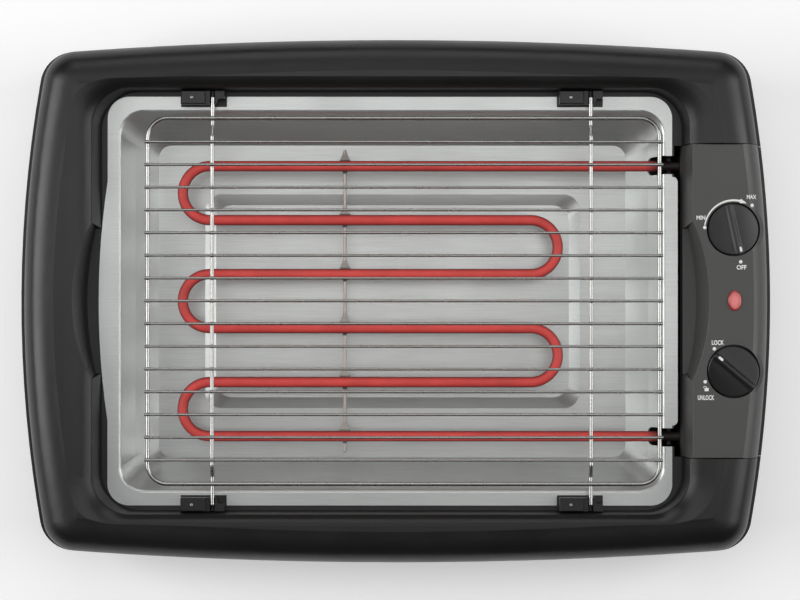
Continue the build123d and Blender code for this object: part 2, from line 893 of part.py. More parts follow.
# Heating element: one steel-sheathed tube in six runs with round bends
with BuildPart() as heating_element:
    with BuildLine() as element_path:
        for run in range(run_count):
            run_y = leg_y - run * run_pitch
            leftward = run % 2 == 0
            start_x = element_right_bend if leftward else element_left_bend
            end_x = element_left_bend if leftward else element_right_bend
            if run == 0:
                start_x = element_end
            if run == run_count - 1:
                end_x = element_end
            Line((start_x, run_y, element_height), (end_x, run_y, element_height))
            if run < run_count - 1:
                swell = -run_pitch / 2 if leftward else run_pitch / 2
                ThreePointArc(
                    (end_x, run_y, element_height),
                    (end_x + swell, run_y - run_pitch / 2, element_height),
                    (end_x, run_y - run_pitch, element_height),
                )
    with BuildSketch(Plane(origin=(element_end, leg_y, element_height), z_dir=(-1, 0, 0))):
        Circle(element_radius)
    sweep()
heating_element.part.label = "heating_element"
export_step(heating_element.part, "parts/heating_element.step")

# Support: a wire under the runs with a sheet clip bent round each of them
with BuildPart() as element_support:
    with BuildSketch(Plane.XZ.offset(support_half_length)):
        with Locations((support_x, support_z)):
            Circle(support_wire / 2)
    extrude(amount=-2 * support_half_length)
    fillet(element_support.edges(), support_tip_rounding)
element_support.part.label = "element_support"
export_step(element_support.part, "parts/element_support.step")

with BuildPart() as support_clips:
    for run in range(run_count):
        run_y = leg_y - run * run_pitch
        with BuildSketch(Plane.YZ.offset(support_x + support_wire / 2 + weld_gap)):
            with Locations((run_y, element_height)):
                Circle(element_radius + weld_gap + clip_sheet)
                Circle(element_radius + weld_gap, mode=Mode.SUBTRACT)
            with Locations((run_y, support_z)):
                Rectangle(clip_width, support_wire)
                Rectangle(clip_width, support_wire, align=(Align.CENTER, Align.MIN))
            with Locations((run_y, element_height)):
                Circle(element_radius + weld_gap, mode=Mode.SUBTRACT)
        extrude(amount=clip_width)
support_clips.part.label = "support_clips"
export_step(support_clips.part, "parts/support_clips.step")


def box_form(inset, low, high, mode):
    """Keeps or adds the block of the control box, drawn in by inset, leaning at its left."""
    for height, lean in ((low, 0.0), (high, (high - low) * box_lean)):
        with BuildSketch(Plane.XY.offset(height)) as slice_sketch:
            with Locations((box_left + inset + lean, 0)):
                Rectangle(box_width, 2 * (box_half_width - inset), align=(Align.MIN, Align.CENTER))
        add(slice_sketch.sketch)
    loft(ruled=True, mode=mode)


# Lower shell of the control box
with BuildPart() as housing_cavity:
    body_form(base_rise, wall, 0.0, wall)
    slab(
        box_left + wall,
        half_length,
        wall - box_half_width,
        box_half_width - wall,
        box_floor + wall,
        top_z,
        Mode.INTERSECT,
    )

with BuildPart() as control_housing:
    body_form(base_rise, 0.0, 0.0, 0.0)
    slab(
        box_left,
        half_length + overrun,
        -box_half_width,
        box_half_width,
        box_floor,
        top_z,
        Mode.INTERSECT,
    )
    add(housing_cavity.part, mode=Mode.SUBTRACT)
    # Screw posts up to the parting line
    with BuildSketch(Plane.XY.offset(box_floor)):
        with Locations(box_screw_places):
            Circle(box_boss_diameter / 2)
    extrude(amount=parting_height - box_floor)
    with BuildSketch(Plane.XY.offset(box_floor - overrun)):
        with Locations(box_screw_places):
            Circle(screw_head_diameter / 2 + hole_gap)
    extrude(amount=parting_height - screw_seat_depth - box_floor + overrun, mode=Mode.SUBTRACT)
    with BuildSketch(Plane.XY.offset(box_floor - overrun)):
        with Locations(box_screw_places):
            Circle(screw_diameter / 2 + hole_gap)
    extrude(amount=top_z, mode=Mode.SUBTRACT)
    # Bearing post of the lock shaft
    with BuildSketch(Plane.XY.offset(box_floor)):
        with Locations((knob_x, lock_y)):
            Circle(shaft_diameter / 2 + bearing_wall)
    extrude(amount=lock_bearing_height)
    with BuildSketch(Plane.XY.offset(box_floor - overrun)):
        with Locations((knob_x, lock_y)):
            Circle(shaft_diameter / 2 + running_fit)
    extrude(amount=lock_bearing_height + 2 * overrun, mode=Mode.SUBTRACT)
    # Holes for the safety plunger, the element's legs and the gland
    with BuildSketch(Plane.XY.offset(box_floor - overrun)):
        with Locations((switch_x, switch_y)):
            Circle(plunger_diameter / 2 + seat_clearance)
    extrude(amount=wall + 2 * overrun, mode=Mode.SUBTRACT)
    with BuildSketch(Plane.YZ.offset(box_left - overrun)):
        with Locations((-leg_y, element_height), (leg_y, element_height)):
            Circle(element_radius + leg_hole_gap)
    extrude(amount=wall + 2 * overrun, mode=Mode.SUBTRACT)
    with BuildSketch(Plane.YZ.offset(gland_start)):
        with Locations((gland_y, gland_z)):
            Circle(gland_diameter / 2 + hole_gap)
    extrude(amount=gland_inset_x + overrun, mode=Mode.SUBTRACT)
control_housing.part.label = "control_housing"
export_step(control_housing.part, "parts/control_housing.step")

# Upper shell of the control box, with the grip hollow, two knob recesses and the lamp window
with BuildPart() as cover_cavity:
    body_form(frame_rise, wall, wall, 0.0, side_step)
    box_form(wall, parting_height - overrun, top_z, Mode.INTERSECT)
    slab(0, half_length, -half_width, half_width, 0, box_top - wall, Mode.INTERSECT)
    scoop(scoop_edge, 1, wall, ledge_height - wall, Mode.SUBTRACT)

with BuildPart() as control_cover:
    body_form(frame_rise, 0.0, 0.0, 0.0, side_step)
    box_form(0.0, parting_height - overrun, top_z, Mode.INTERSECT)
    slab(0, half_length, -half_width, half_width, 0, box_top, Mode.INTERSECT)
    scoop(scoop_edge, 1, 0.0, ledge_height, Mode.SUBTRACT)
    # Its top is rounded along all but the edge at the end of the body
    cover_edges = control_cover.faces().sort_by(Axis.Z)[-1].edges().sort_by(Axis.X)[:-1]
    fillet(cover_edges, cover_rounding)
    add(cover_cavity.part, mode=Mode.SUBTRACT)
    # Posts that carry the thermostat's bracket
    with BuildSketch(Plane.XY.offset(plate_z + plate_thick)):
        with Locations(plate_post_places):
            Circle(plate_post_diameter / 2)
    extrude(amount=plate_drop - wall - plate_thick)
    # Knob wells, each a cup that hangs from the top
    with BuildSketch(Plane.XY.offset(box_top - wall - knob_recess_depth)):
        with Locations(knob_places):
            Circle(knob_diameter / 2 + knob_ring_gap + wall)
    extrude(amount=knob_recess_depth + floor_sink)
    with BuildSketch(Plane.XY.offset(box_top - knob_recess_depth)):
        with Locations(knob_places):
            Circle(knob_diameter / 2 + knob_ring_gap)
    extrude(amount=knob_recess_depth + overrun, mode=Mode.SUBTRACT)
    with BuildSketch(Plane.XY.offset(box_top)):
        with Locations(knob_places):
            Circle(hub_diameter / 2 + seat_clearance)
    extrude(amount=-knob_recess_depth - wall - overrun, mode=Mode.SUBTRACT)
    # Screw posts down to the parting line
    with BuildSketch(Plane.XY.offset(parting_height)):
        with Locations(box_screw_places):
            Circle(box_boss_diameter / 2)
    extrude(amount=box_top - wall - parting_height)
    with BuildSketch(Plane.XY.offset(parting_height)):
        with Locations(box_screw_places):
            Circle(screw_diameter / 2 + thread_gap)
    extrude(amount=screw_bite + floor_sink, mode=Mode.SUBTRACT)
    # Window of the pilot lamp
    with BuildSketch(Plane.XY.offset(box_top + overrun)):
        with Locations((lamp_x, lamp_y)):
            Ellipse(lamp_width / 2, lamp_length / 2)
    extrude(amount=-wall - 2 * overrun, mode=Mode.SUBTRACT)
control_cover.part.label = "control_cover"
export_step(control_cover.part, "parts/control_cover.step")

with BuildPart() as box_screws:
    with BuildSketch(Plane.XY.offset(parting_height - screw_seat_depth - screw_head_height)):
        with Locations(box_screw_places):
            Circle(screw_head_diameter / 2)
    extrude(amount=screw_head_height)
    with BuildSketch(Plane.XY.offset(parting_height - screw_seat_depth)):
        with Locations(box_screw_places):
            Circle(screw_diameter / 2)
    extrude(amount=screw_seat_depth + screw_bite)
box_screws.part.label = "box_screws"
export_step(box_screws.part, "parts/box_screws.step")

# Heat shield: a sheet inside the left wall of the box, round the element's legs
with BuildPart() as heat_shield:
    slab(
        box_left + wall,
        box_left + wall + sheet,
        shield_margin - box_half_width,
        box_half_width - shield_margin,
        box_floor + wall,
        parting_height - shield_drop,
    )
    with BuildSketch(Plane.YZ.offset(box_left)):
        with Locations((-leg_y, element_height), (leg_y, element_height)):
            Circle(element_radius + leg_hole_gap)
    extrude(amount=wall + sheet + overrun, mode=Mode.SUBTRACT)
heat_shield.part.label = "heat_shield"
export_step(heat_shield.part, "parts/heat_shield.step")

# Clamp plates that hold the element's legs behind the shield
with BuildPart() as leg_clamps:
    with BuildSketch(Plane.YZ.offset(box_left + wall + sheet)):
        for side in (-1, 1):
            with Locations((side * leg_y, element_height)):
                RectangleRounded(clamp_size, clamp_size, clamp_radius)
                Circle(element_radius + running_fit, mode=Mode.SUBTRACT)
    extrude(amount=clamp_thick)
leg_clamps.part.label = "leg_clamps"
export_step(leg_clamps.part, "parts/leg_clamps.step")

# Ceramic ends and steel terminal pins of the element
with BuildPart() as terminal_insulators:
    with BuildSketch(Plane.YZ.offset(element_end)):
        for side in (-1, 1):
            with Locations((side * leg_y, element_height)):
                Circle(element_radius - insulator_inset)
                Circle(terminal_pin / 2 + running_fit, mode=Mode.SUBTRACT)
    extrude(amount=insulator_length)
terminal_insulators.part.label = "terminal_insulators"
export_step(terminal_insulators.part, "parts/terminal_insulators.step")

with BuildPart() as terminal_pins:
    with BuildSketch(Plane.YZ.offset(element_end)):
        for side in (-1, 1):
            with Locations((side * leg_y, element_height)):
                Circle(terminal_pin / 2)
    extrude(amount=insulator_length + pin_reach)
terminal_pins.part.label = "terminal_pins"
export_step(terminal_pins.part, "parts/terminal_pins.step")

# Thermostat on its bracket plate under the cover
with BuildPart() as thermostat_plate:
    with BuildSketch(Plane.XY.offset(plate_z)):
        with Locations((knob_x, thermostat_y)):
            RectangleRounded(plate_width, plate_length, plate_radius)
            Circle(bushing_diameter / 2 + hole_gap, mode=Mode.SUBTRACT)
    extrude(amount=plate_thick)
thermostat_plate.part.label = "thermostat_plate"
export_step(thermostat_plate.part, "parts/thermostat_plate.step")

with BuildPart() as thermostat:
    with BuildSketch(Plane.XY.offset(plate_z - thermostat_depth)):
        with Locations((knob_x, thermostat_y)):
            RectangleRounded(thermostat_width, thermostat_length, thermostat_radius)
    extrude(amount=thermostat_depth)
    with BuildSketch(Plane.XY.offset(plate_z)):
        with Locations((knob_x, thermostat_y)):
            Circle(bushing_diameter / 2)
    extrude(amount=bushing_height)
    with BuildSketch(Plane.XY.offset(plate_z - shaft_depth)):
        with Locations((knob_x, thermostat_y)):
            Circle(shaft_diameter / 2 + running_fit)
    extrude(amount=top_z, mode=Mode.SUBTRACT)
    # Two blade terminals on the underside
    with BuildSketch(Plane.XY.offset(plate_z - thermostat_depth - blade_length)):
        with Locations((knob_x, thermostat_y)):
            with GridLocations(blade_pitch, 0, 2, 1):
                Rectangle(blade_thick, blade_width)
    extrude(amount=blade_length + floor_sink)
thermostat.part.label = "thermostat"
export_step(thermostat.part, "parts/thermostat.step")

with BuildPart() as thermostat_nut:
    with BuildSketch(Plane.XY.offset(plate_z + plate_thick)):
        with Locations((knob_x, thermostat_y)):
            RegularPolygon(nut_across / 2, 6, major_radius=False)
            Circle(bushing_diameter / 2 + thread_gap, mode=Mode.SUBTRACT)
    extrude(amount=nut_height)
thermostat_nut.part.label = "thermostat_nut"
export_step(thermostat_nut.part, "parts/thermostat_nut.step")


def knob_plane(knob_y, rest_angle, height):
    """A level plane on a knob's axis, with its X axis along the grip at rest."""
    turn = radians(rest_angle)
    return Plane(
        origin=(knob_x, knob_y, height),
        x_dir=(sin(turn), cos(turn), 0),
        z_dir=(0, 0, 1),
    )


def shaft_section(grow):
    """Adds the D-shaped section of a shaft's driving end, grown by a clearance."""
    radius = shaft_diameter / 2 + grow
    Circle(radius)
    with Locations((0, radius - shaft_flat_depth)):
        Rectangle(
            2 * radius,
            2 * radius,
            align=(Align.CENTER, Align.MIN),
            mode=Mode.SUBTRACT,
        )


# Knobs: each is a round disc with a hollow on each side of a straight grip
for name, knob_y, rest_angle in (
    ("thermostat_knob", thermostat_y, thermostat_rest_angle),
    ("lock_knob", lock_y, lock_rest_angle),
):
    with BuildPart() as knob:
        with BuildSketch(knob_plane(knob_y, rest_angle, knob_low)):
            Circle(knob_diameter / 2)
        extrude(amount=knob_top - knob_low)
        fillet(knob.edges().group_by(Axis.Z)[-1], knob_edge_radius)
        # The hollows, deep beside the grip and shallow at the rim
        level = knob_plane(knob_y, rest_angle, 0)
        rim = knob_diameter / 2 + overrun
        grip = knob_ridge_width / 2
        hollow_floor = knob_top - knob_hollow
        with BuildSketch(Plane(origin=level.origin, x_dir=level.y_dir, z_dir=level.x_dir)):
            with BuildLine():
                Line((grip, hollow_floor), (grip, top_z))
                Line((grip, top_z), (rim, top_z))
                Line((rim, top_z), (rim, knob_top - knob_rim_drop))
                ThreePointArc(
                    (rim, knob_top - knob_rim_drop),
                    (rim * knob_hollow_bend, knob_top - knob_hollow * knob_hollow_sag),
                    (grip, hollow_floor),
                )
            make_face()
            mirror(about=Plane.YZ)
        extrude(amount=knob_diameter, both=True, mode=Mode.SUBTRACT)
        # Hub through the cover, with a D-shaped bore for the shaft
        with BuildSketch(knob_plane(knob_y, rest_angle, knob_low)):
            Circle(hub_diameter / 2)
        extrude(amount=-hub_length)
        with BuildSketch(knob_plane(knob_y, rest_angle, knob_low - hub_length)) as bore:
            shaft_section(running_fit)
        extrude(amount=shaft_top_z + seat_clearance - knob_low + hub_length, mode=Mode.SUBTRACT)
    knob.part.label = name
    export_step(knob.part, f"parts/{name}.step")

# Shafts: the thermostat's turns in its bushing, the lock's reaches down to the cam
for name, shaft_y, rest_angle, bottom in (
    (
        "thermostat_shaft",
        thermostat_y,
        thermostat_rest_angle,
        plate_z - shaft_depth + seat_clearance,
    ),
    ("lock_shaft", lock_y, lock_rest_angle, lock_cam_top - lock_cam_thick - lock_shaft_tail),
):
    flat_start = shaft_top_z - shaft_flat_length
    with BuildPart() as shaft:
        with BuildSketch(knob_plane(shaft_y, rest_angle, bottom)):
            Circle(shaft_diameter / 2)
        extrude(amount=flat_start - bottom)
        with BuildSketch(knob_plane(shaft_y, rest_angle, flat_start)):
            shaft_section(0.0)
        extrude(amount=shaft_flat_length)
    shaft.part.label = name
    export_step(shaft.part, f"parts/{name}.step")

# Cam on the foot of the lock shaft
cam_direction = radians(90 - lock_cam_angle)
with BuildPart() as lock_cam:
    with BuildSketch(Plane.XY.offset(lock_cam_top - lock_cam_thick)):
        with BuildLine():
            cam_side = (cos(cam_direction + radians(90)), sin(cam_direction + radians(90)))
            cam_tip = (knob_x + cam_reach * cos(cam_direction), lock_y + cam_reach * sin(cam_direction))
            hub = hub_diameter / 2
            tip = cam_tip_radius
            root_a = (knob_x + hub * cam_side[0], lock_y + hub * cam_side[1])
            root_b = (knob_x - hub * cam_side[0], lock_y - hub * cam_side[1])
            tip_a = (cam_tip[0] + tip * cam_side[0], cam_tip[1] + tip * cam_side[1])
            tip_b = (cam_tip[0] - tip * cam_side[0], cam_tip[1] - tip * cam_side[1])
            nose = (cam_tip[0] + tip * cos(cam_direction), cam_tip[1] + tip * sin(cam_direction))
            back = (knob_x - hub * cos(cam_direction), lock_y - hub * sin(cam_direction))
            Line(root_a, tip_a)
            ThreePointArc(tip_a, nose, tip_b)
            Line(tip_b, root_b)
            ThreePointArc(root_b, back, root_a)
        make_face()
        with Locations((knob_x, lock_y)):
            Circle(shaft_diameter / 2 + running_fit, mode=Mode.SUBTRACT)
    extrude(amount=lock_cam_thick)
lock_cam.part.label = "lock_cam"
export_step(lock_cam.part, "parts/lock_cam.step")

# Pilot lamp: an oval domed lens over a small bulb in its holder
with BuildPart() as pilot_lens:
    with BuildSketch(Plane.XY.offset(lamp_seat)):
        with Locations((lamp_x, lamp_y)):
            Ellipse(lamp_width / 2 - thread_gap, lamp_length / 2 - thread_gap)
    extrude(amount=lamp_flange_thick + wall + lamp_rise)
    fillet(pilot_lens.edges().group_by(Axis.Z)[-1], lamp_rounding)
    with BuildSketch(Plane.XY.offset(lamp_seat)):
        with Locations((lamp_x, lamp_y)):
            Ellipse(lamp_width / 2 + lamp_flange, lamp_length / 2 + lamp_flange)
    extrude(amount=lamp_flange_thick)
pilot_lens.part.label = "pilot_lens"
export_step(pilot_lens.part, "parts/pilot_lens.step")

with BuildPart() as pilot_bulb:
    with BuildSketch(Plane.XZ.offset(-lamp_y - bulb_length / 2)):
        with Locations((lamp_x, lamp_seat - bulb_diameter / 2 - weld_gap)):
            Circle(bulb_diameter / 2)
    extrude(amount=bulb_length)
pilot_bulb.part.label = "pilot_bulb"
export_step(pilot_bulb.part, "parts/pilot_bulb.step")

# Safety switch on the floor of the box, with the plunger that the base pan's post presses
with BuildPart() as safety_switch:
    slab(
        switch_x - switch_width / 2,
        switch_x + switch_width / 2,
        switch_y - switch_length / 2,
        switch_y + switch_length / 2,
        switch_floor,
        switch_floor + switch_height,
    )
    with BuildSketch(Plane.XY.offset(switch_floor - overrun)):
        with Locations((switch_x, switch_y)):
            Circle(plunger_collar / 2 + seat_clearance)
    chamber_height = plunger_collar_height + plunger_travel + 2 * seat_clearance
    extrude(amount=overrun + chamber_height, mode=Mode.SUBTRACT)
safety_switch.part.label = "safety_switch"
export_step(safety_switch.part, "parts/safety_switch.step")

plunger_bottom = floor_top + switch_post_height + seat_clearance
with BuildPart() as safety_plunger:
    with BuildSketch(Plane.XY.offset(plunger_bottom)):
        with Locations((switch_x, switch_y)):
            Circle(plunger_diameter / 2)
    extrude(amount=switch_floor + seat_clearance - plunger_bottom)
    with BuildSketch(Plane.XY.offset(switch_floor + seat_clearance)):
        with Locations((switch_x, switch_y)):
            Circle(plunger_collar / 2)
    extrude(amount=plunger_collar_height)
    fillet(safety_plunger.edges().group_by(Axis.Z)[0], plunger_rounding)
safety_plunger.part.label = "safety_plunger"
export_step(safety_plunger.part, "parts/safety_plunger.step")

# Terminal block on the floor of the box, beside the gland
with BuildPart() as terminal_block:
    slab(
        switch_x - block_width / 2,
        switch_x + block_width / 2,
        block_y - block_length / 2,
        block_y + block_length / 2,
        switch_floor,
        switch_floor + block_height,
    )
    with BuildSketch(Plane.YZ.offset(switch_x - block_width / 2 - overrun)):
        with Locations((block_y, switch_floor + block_height / 2)):
            with GridLocations(block_pitch, 0, 3, 1):
                Circle(block_bore / 2)
    extrude(amount=block_width + 2 * overrun, mode=Mode.SUBTRACT)
terminal_block.part.label = "terminal_block"
export_step(terminal_block.part, "parts/terminal_block.step")

# Gland in the right wall of the box
with BuildPart() as cord_gland:
    with BuildSketch(Plane.YZ.offset(gland_start)):
        with Locations((gland_y, gland_z)):
            Circle(gland_diameter / 2)
            Circle(gland_bore / 2, mode=Mode.SUBTRACT)
    extrude(amount=gland_length)
    with BuildSketch(Plane.YZ.offset(gland_start)):
        with Locations((gland_y, gland_z)):
            Circle(gland_diameter / 2 + gland_lip)
            Circle(gland_bore / 2, mode=Mode.SUBTRACT)
    extrude(amount=gland_lip)
cord_gland.part.label = "cord_gland"
export_step(cord_gland.part, "parts/cord_gland.step")

# Wire grate: a closed frame loop, thin rods across it and two bars that carry it
with BuildPart() as grate_frame:
    with BuildLine(Plane.XY.offset(grate_height)) as loop:
        FilletPolyline(
            (grate_left, grate_half_width),
            (grate_left, -grate_half_width),
            (grate_right, -grate_half_width),
            (grate_right, grate_half_width),
            radius=grate_corner_radius,
            close=True,
        )
    with BuildSketch(Plane(origin=loop.line @ 0, z_dir=loop.line % 0)):
        Circle(grate_wire / 2)
    sweep()
grate_frame.part.label = "grate_frame"
export_step(grate_frame.part, "parts/grate_frame.step")

for name, bar_x in (("grate_bar_left", bar_left_x), ("grate_bar_right", bar_right_x)):
    with BuildPart() as bar:
        with BuildLine() as bar_path:
            FilletPolyline(
                (bar_x, -bar_half_length, bar_low_z),
                (bar_x, -bar_joggle_end, bar_low_z),
                (bar_x, -bar_joggle_start, grate_height),
                (bar_x, bar_joggle_start, grate_height),
                (bar_x, bar_joggle_end, bar_low_z),
                (bar_x, bar_half_length, bar_low_z),
                radius=bar_bend_radius,
            )
        with BuildSketch(Plane(origin=(bar_x, -bar_half_length, bar_low_z), z_dir=(0, 1, 0))):
            Circle(grate_wire / 2)
        sweep()
    bar.part.label = name
    export_step(bar.part, f"parts/{name}.step")

for index in range(rod_count):
    rod_y = (index - (rod_count - 1) / 2) * rod_pitch
    rod_name = f"grate_rod_{index + 1:02d}"
    with BuildPart() as rod:
        with BuildSketch(Plane.YZ.offset(grate_left - rod_overhang)):
            with Locations((rod_y, rod_z)):
                Circle(rod_wire / 2)
        extrude(amount=grate_right - grate_left + 2 * rod_overhang)
    rod.part.label = rod_name
    export_step(rod.part, f"parts/{rod_name}.step")
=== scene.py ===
"""Looks of the electric barbecue grill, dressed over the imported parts. Metres, +Z up."""
import bmesh
import bpy
import math
import numpy as np
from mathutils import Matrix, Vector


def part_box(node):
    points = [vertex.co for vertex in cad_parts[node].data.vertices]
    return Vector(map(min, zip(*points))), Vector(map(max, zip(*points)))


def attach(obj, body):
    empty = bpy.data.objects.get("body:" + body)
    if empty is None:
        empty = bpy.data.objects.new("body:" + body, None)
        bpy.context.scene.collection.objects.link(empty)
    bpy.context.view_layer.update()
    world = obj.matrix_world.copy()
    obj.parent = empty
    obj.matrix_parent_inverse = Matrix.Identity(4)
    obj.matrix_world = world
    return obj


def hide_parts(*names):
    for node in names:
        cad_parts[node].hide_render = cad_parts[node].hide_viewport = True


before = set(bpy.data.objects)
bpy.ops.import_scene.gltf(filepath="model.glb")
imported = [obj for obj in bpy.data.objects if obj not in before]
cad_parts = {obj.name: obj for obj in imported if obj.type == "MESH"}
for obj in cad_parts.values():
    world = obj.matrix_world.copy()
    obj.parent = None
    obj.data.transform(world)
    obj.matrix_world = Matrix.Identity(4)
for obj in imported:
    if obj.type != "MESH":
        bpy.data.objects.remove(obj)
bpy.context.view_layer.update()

# Body mouldings
# The base pan, the top frame and the two shells of the control box are injection moulded in
# black heat-resistant plastic. Their tools leave a fine even grain and a satin sheen, and hands
# and the tray rub the lip of the well a little smoother.
GRAIN_SIZE = 0.00045
GRAIN_DEPTH = 0.00003
RIPPLE_SIZE = 0.045
RIPPLE_DEPTH = 0.00012
RUBBED_LOW = 0.0805
RUBBED_HIGH = 0.0885
RUBBED_ROUGHNESS = -0.16


def new_material(name, roughness=0.5, metallic=0.0):
    """A material with its Principled BSDF, which is returned with it."""
    material = bpy.data.materials.new(name)
    material.use_nodes = True
    shader = material.node_tree.nodes["Principled BSDF"]
    shader.inputs["Roughness"].default_value = roughness
    shader.inputs["Metallic"].default_value = metallic
    return material, shader


def add_socket(group, name, kind, value=None, out=False):
    """A named input or output of a shader node group."""
    direction = "OUTPUT" if out else "INPUT"
    socket = group.interface.new_socket(name, in_out=direction, socket_type=kind)
    if value is not None:
        socket.default_value = value


def make_node(group, kind, **values):
    """A node with the given values on its sockets or properties. An underscore stands for a
    space in a socket's name."""
    node = group.nodes.new(kind)
    for name, value in values.items():
        plain = name.replace("_", " ")
        if plain in node.inputs:
            node.inputs[plain].default_value = value
        else:
            setattr(node, name.lower(), value)
    return node


def moulded_group():
    """Grain and slow ripples for the normal, clouds for colour and roughness, a rubbed band."""
    group = bpy.data.node_groups.new("moulded_surface", "ShaderNodeTree")
    add_socket(group, "Dark", "NodeSocketColor", (0.006, 0.006, 0.0058, 1))
    add_socket(group, "Light", "NodeSocketColor", (0.010, 0.010, 0.0096, 1))
    add_socket(group, "Grain Scale", "NodeSocketFloat", 1 / GRAIN_SIZE)
    add_socket(group, "Grain Depth", "NodeSocketFloat", GRAIN_DEPTH)
    add_socket(group, "Roughness Low", "NodeSocketFloat", 0.36)
    add_socket(group, "Roughness High", "NodeSocketFloat", 0.46)
    add_socket(group, "Rubbed", "NodeSocketFloat", 0.0)
    add_socket(group, "Colour", "NodeSocketColor", out=True)
    add_socket(group, "Roughness", "NodeSocketFloat", out=True)
    add_socket(group, "Normal", "NodeSocketVector", out=True)
    link = group.links.new
    given = make_node(group, "NodeGroupInput")
    result = make_node(group, "NodeGroupOutput")
    place = make_node(group, "ShaderNodeTexCoord")
    split = make_node(group, "ShaderNodeSeparateXYZ")
    grain = make_node(group, "ShaderNodeTexNoise", Detail=3.0)
    ripples = make_node(group, "ShaderNodeTexNoise", Scale=1 / RIPPLE_SIZE, Detail=1.0)
    clouds = make_node(group, "ShaderNodeTexNoise", Scale=17.0, Detail=6.0, Roughness=0.6)
    grain_bump = make_node(group, "ShaderNodeBump")
    ripple_bump = make_node(group, "ShaderNodeBump", Distance=RIPPLE_DEPTH)
    mix = make_node(group, "ShaderNodeMix", data_type="RGBA")
    spread = make_node(group, "ShaderNodeMapRange", From_Min=0.3, From_Max=0.7)
    band = make_node(group, "ShaderNodeMapRange", From_Min=RUBBED_LOW, From_Max=RUBBED_HIGH)
    hill = make_node(group, "ShaderNodeMath", operation="PINGPONG")
    hill.inputs[1].default_value = 0.5
    strength = make_node(group, "ShaderNodeMath", operation="MULTIPLY")
    smoother = make_node(group, "ShaderNodeMath", operation="MULTIPLY_ADD")
    smoother.inputs[1].default_value = RUBBED_ROUGHNESS
    for noise in (grain, ripples, clouds):
        link(place.outputs["Object"], noise.inputs["Vector"])
    link(place.outputs["Object"], split.inputs["Vector"])
    link(given.outputs["Grain Scale"], grain.inputs["Scale"])
    link(ripples.outputs["Fac"], ripple_bump.inputs["Height"])
    link(ripple_bump.outputs["Normal"], grain_bump.inputs["Normal"])
    link(grain.outputs["Fac"], grain_bump.inputs["Height"])
    link(given.outputs["Grain Depth"], grain_bump.inputs["Distance"])
    link(clouds.outputs["Fac"], mix.inputs["Factor"])
    link(given.outputs["Dark"], mix.inputs["A"])
    link(given.outputs["Light"], mix.inputs["B"])
    link(clouds.outputs["Fac"], spread.inputs["Value"])
    link(given.outputs["Roughness Low"], spread.inputs["To Min"])
    link(given.outputs["Roughness High"], spread.inputs["To Max"])
    link(split.outputs["Z"], band.inputs["Value"])
    link(band.outputs["Result"], hill.inputs[0])
    link(hill.outputs[0], strength.inputs[0])
    link(given.outputs["Rubbed"], strength.inputs[1])
    link(strength.outputs[0], smoother.inputs[0])
    link(spread.outputs["Result"], smoother.inputs[2])
    link(mix.outputs["Result"], result.inputs["Colour"])
    link(smoother.outputs[0], result.inputs["Roughness"])
    link(grain_bump.outputs["Normal"], result.inputs["Normal"])
    return group


moulded_surface = moulded_group()


def place_group(material, shader, group, values):
    """Puts a node group into a material and feeds the shader from its outputs."""
    node = material.node_tree.nodes.new("ShaderNodeGroup")
    node.node_tree = group
    for name, value in values.items():
        node.inputs[name].default_value = value
    feeds = {"Colour": "Base Color", "Roughness": "Roughness", "Normal": "Normal"}
    for name, socket in feeds.items():
        if name in node.outputs:
            material.node_tree.links.new(node.outputs[name], shader.inputs[socket])
    return node


def dress(material, *names):
    """Gives CAD nodes their finish."""
    for name in names:
        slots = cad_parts[name].data.materials
        slots.clear()
        slots.append(material)


body_plastic, shader = new_material("body_plastic")
place_group(body_plastic, shader, moulded_surface, {"Rubbed": 1.0})
dress(body_plastic, "base_pan", "top_frame", "control_housing")
# The cover is the same black plastic as the frame, but its colours are set several times lighter:
# painted light, standing for the sheen a light at the right lays on its flat top.
cover_plastic_painted_light, shader = new_material("cover_plastic_painted_light")
place_group(
    cover_plastic_painted_light,
    shader,
    moulded_surface,
    {"Dark": (0.058, 0.058, 0.056, 1), "Light": (0.074, 0.074, 0.071, 1), "Roughness High": 0.5},
)
dress(cover_plastic_painted_light, "control_cover")

# Words and marks of the control box
# Pad printed in white on the flat top of the cover: OFF, MIN and MAX with a tapered arrow round
# the thermostat, LOCK and UNLOCK with an open padlock beside the lock.
THERMOSTAT = (0.2395, 0.0508)
LOCK = (0.2395, -0.0499)
INK_THICKNESS = 0.00004
PRINT_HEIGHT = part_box("control_cover")[1][2] + INK_THICKNESS
ARC_RADIUS = 0.0206
ARC_START = 172.0
ARC_STOP = 63.0
ARC_HALF_THIN = 0.00045
ARC_HALF_THICK = 0.00075
ARROW_HALF = 0.0016
ARROW_SHARE = 0.125
# Each word with its knob's centre, its own place from there, and its width and height.
WORDS = (
    ("MIN", THERMOSTAT, (-0.0232, 0.0083), (0.0063, 0.0030)),
    ("MAX", THERMOSTAT, (0.0127, 0.0230), (0.0068, 0.0030)),
    ("OFF", THERMOSTAT, (0.0056, -0.0269), (0.0070, 0.0033)),
    ("LOCK", LOCK, (-0.0112, 0.0205), (0.0087, 0.0034)),
    ("UNLOCK", LOCK, (-0.0196, -0.0185), (0.0117, 0.0035)),
)
DOTS = (
    (THERMOSTAT, (-0.0205, 0.0013)),
    (THERMOSTAT, (0.0131, 0.0170)),
    (THERMOSTAT, (0.0050, -0.0230)),
    (LOCK, (-0.0137, 0.0161)),
    (LOCK, (-0.0202, -0.0073)),
)
DOT_RADIUS = 0.00125
PADLOCK = (LOCK[0] - 0.0192, LOCK[1] - 0.0128)
PADLOCK_HALF = (0.0015, 0.00115)
SHACKLE_RADIUS = 0.0011
SHACKLE_HALF = 0.00022
TYPE_SIZE = 1.42
TYPE_SWELL = 0.045


def grid_faces(rows, columns, wrap=False):
    """Quads of a grid whose points are stored row by row. A wrapped one is closed across its
    columns."""
    across = np.arange(columns if wrap else columns - 1)
    down = np.arange(rows - 1)[:, None] * columns
    here = down + across
    beside = down + (across + 1) % columns
    return np.stack([here, beside, beside + columns, here + columns], axis=-1).reshape(-1, 4)


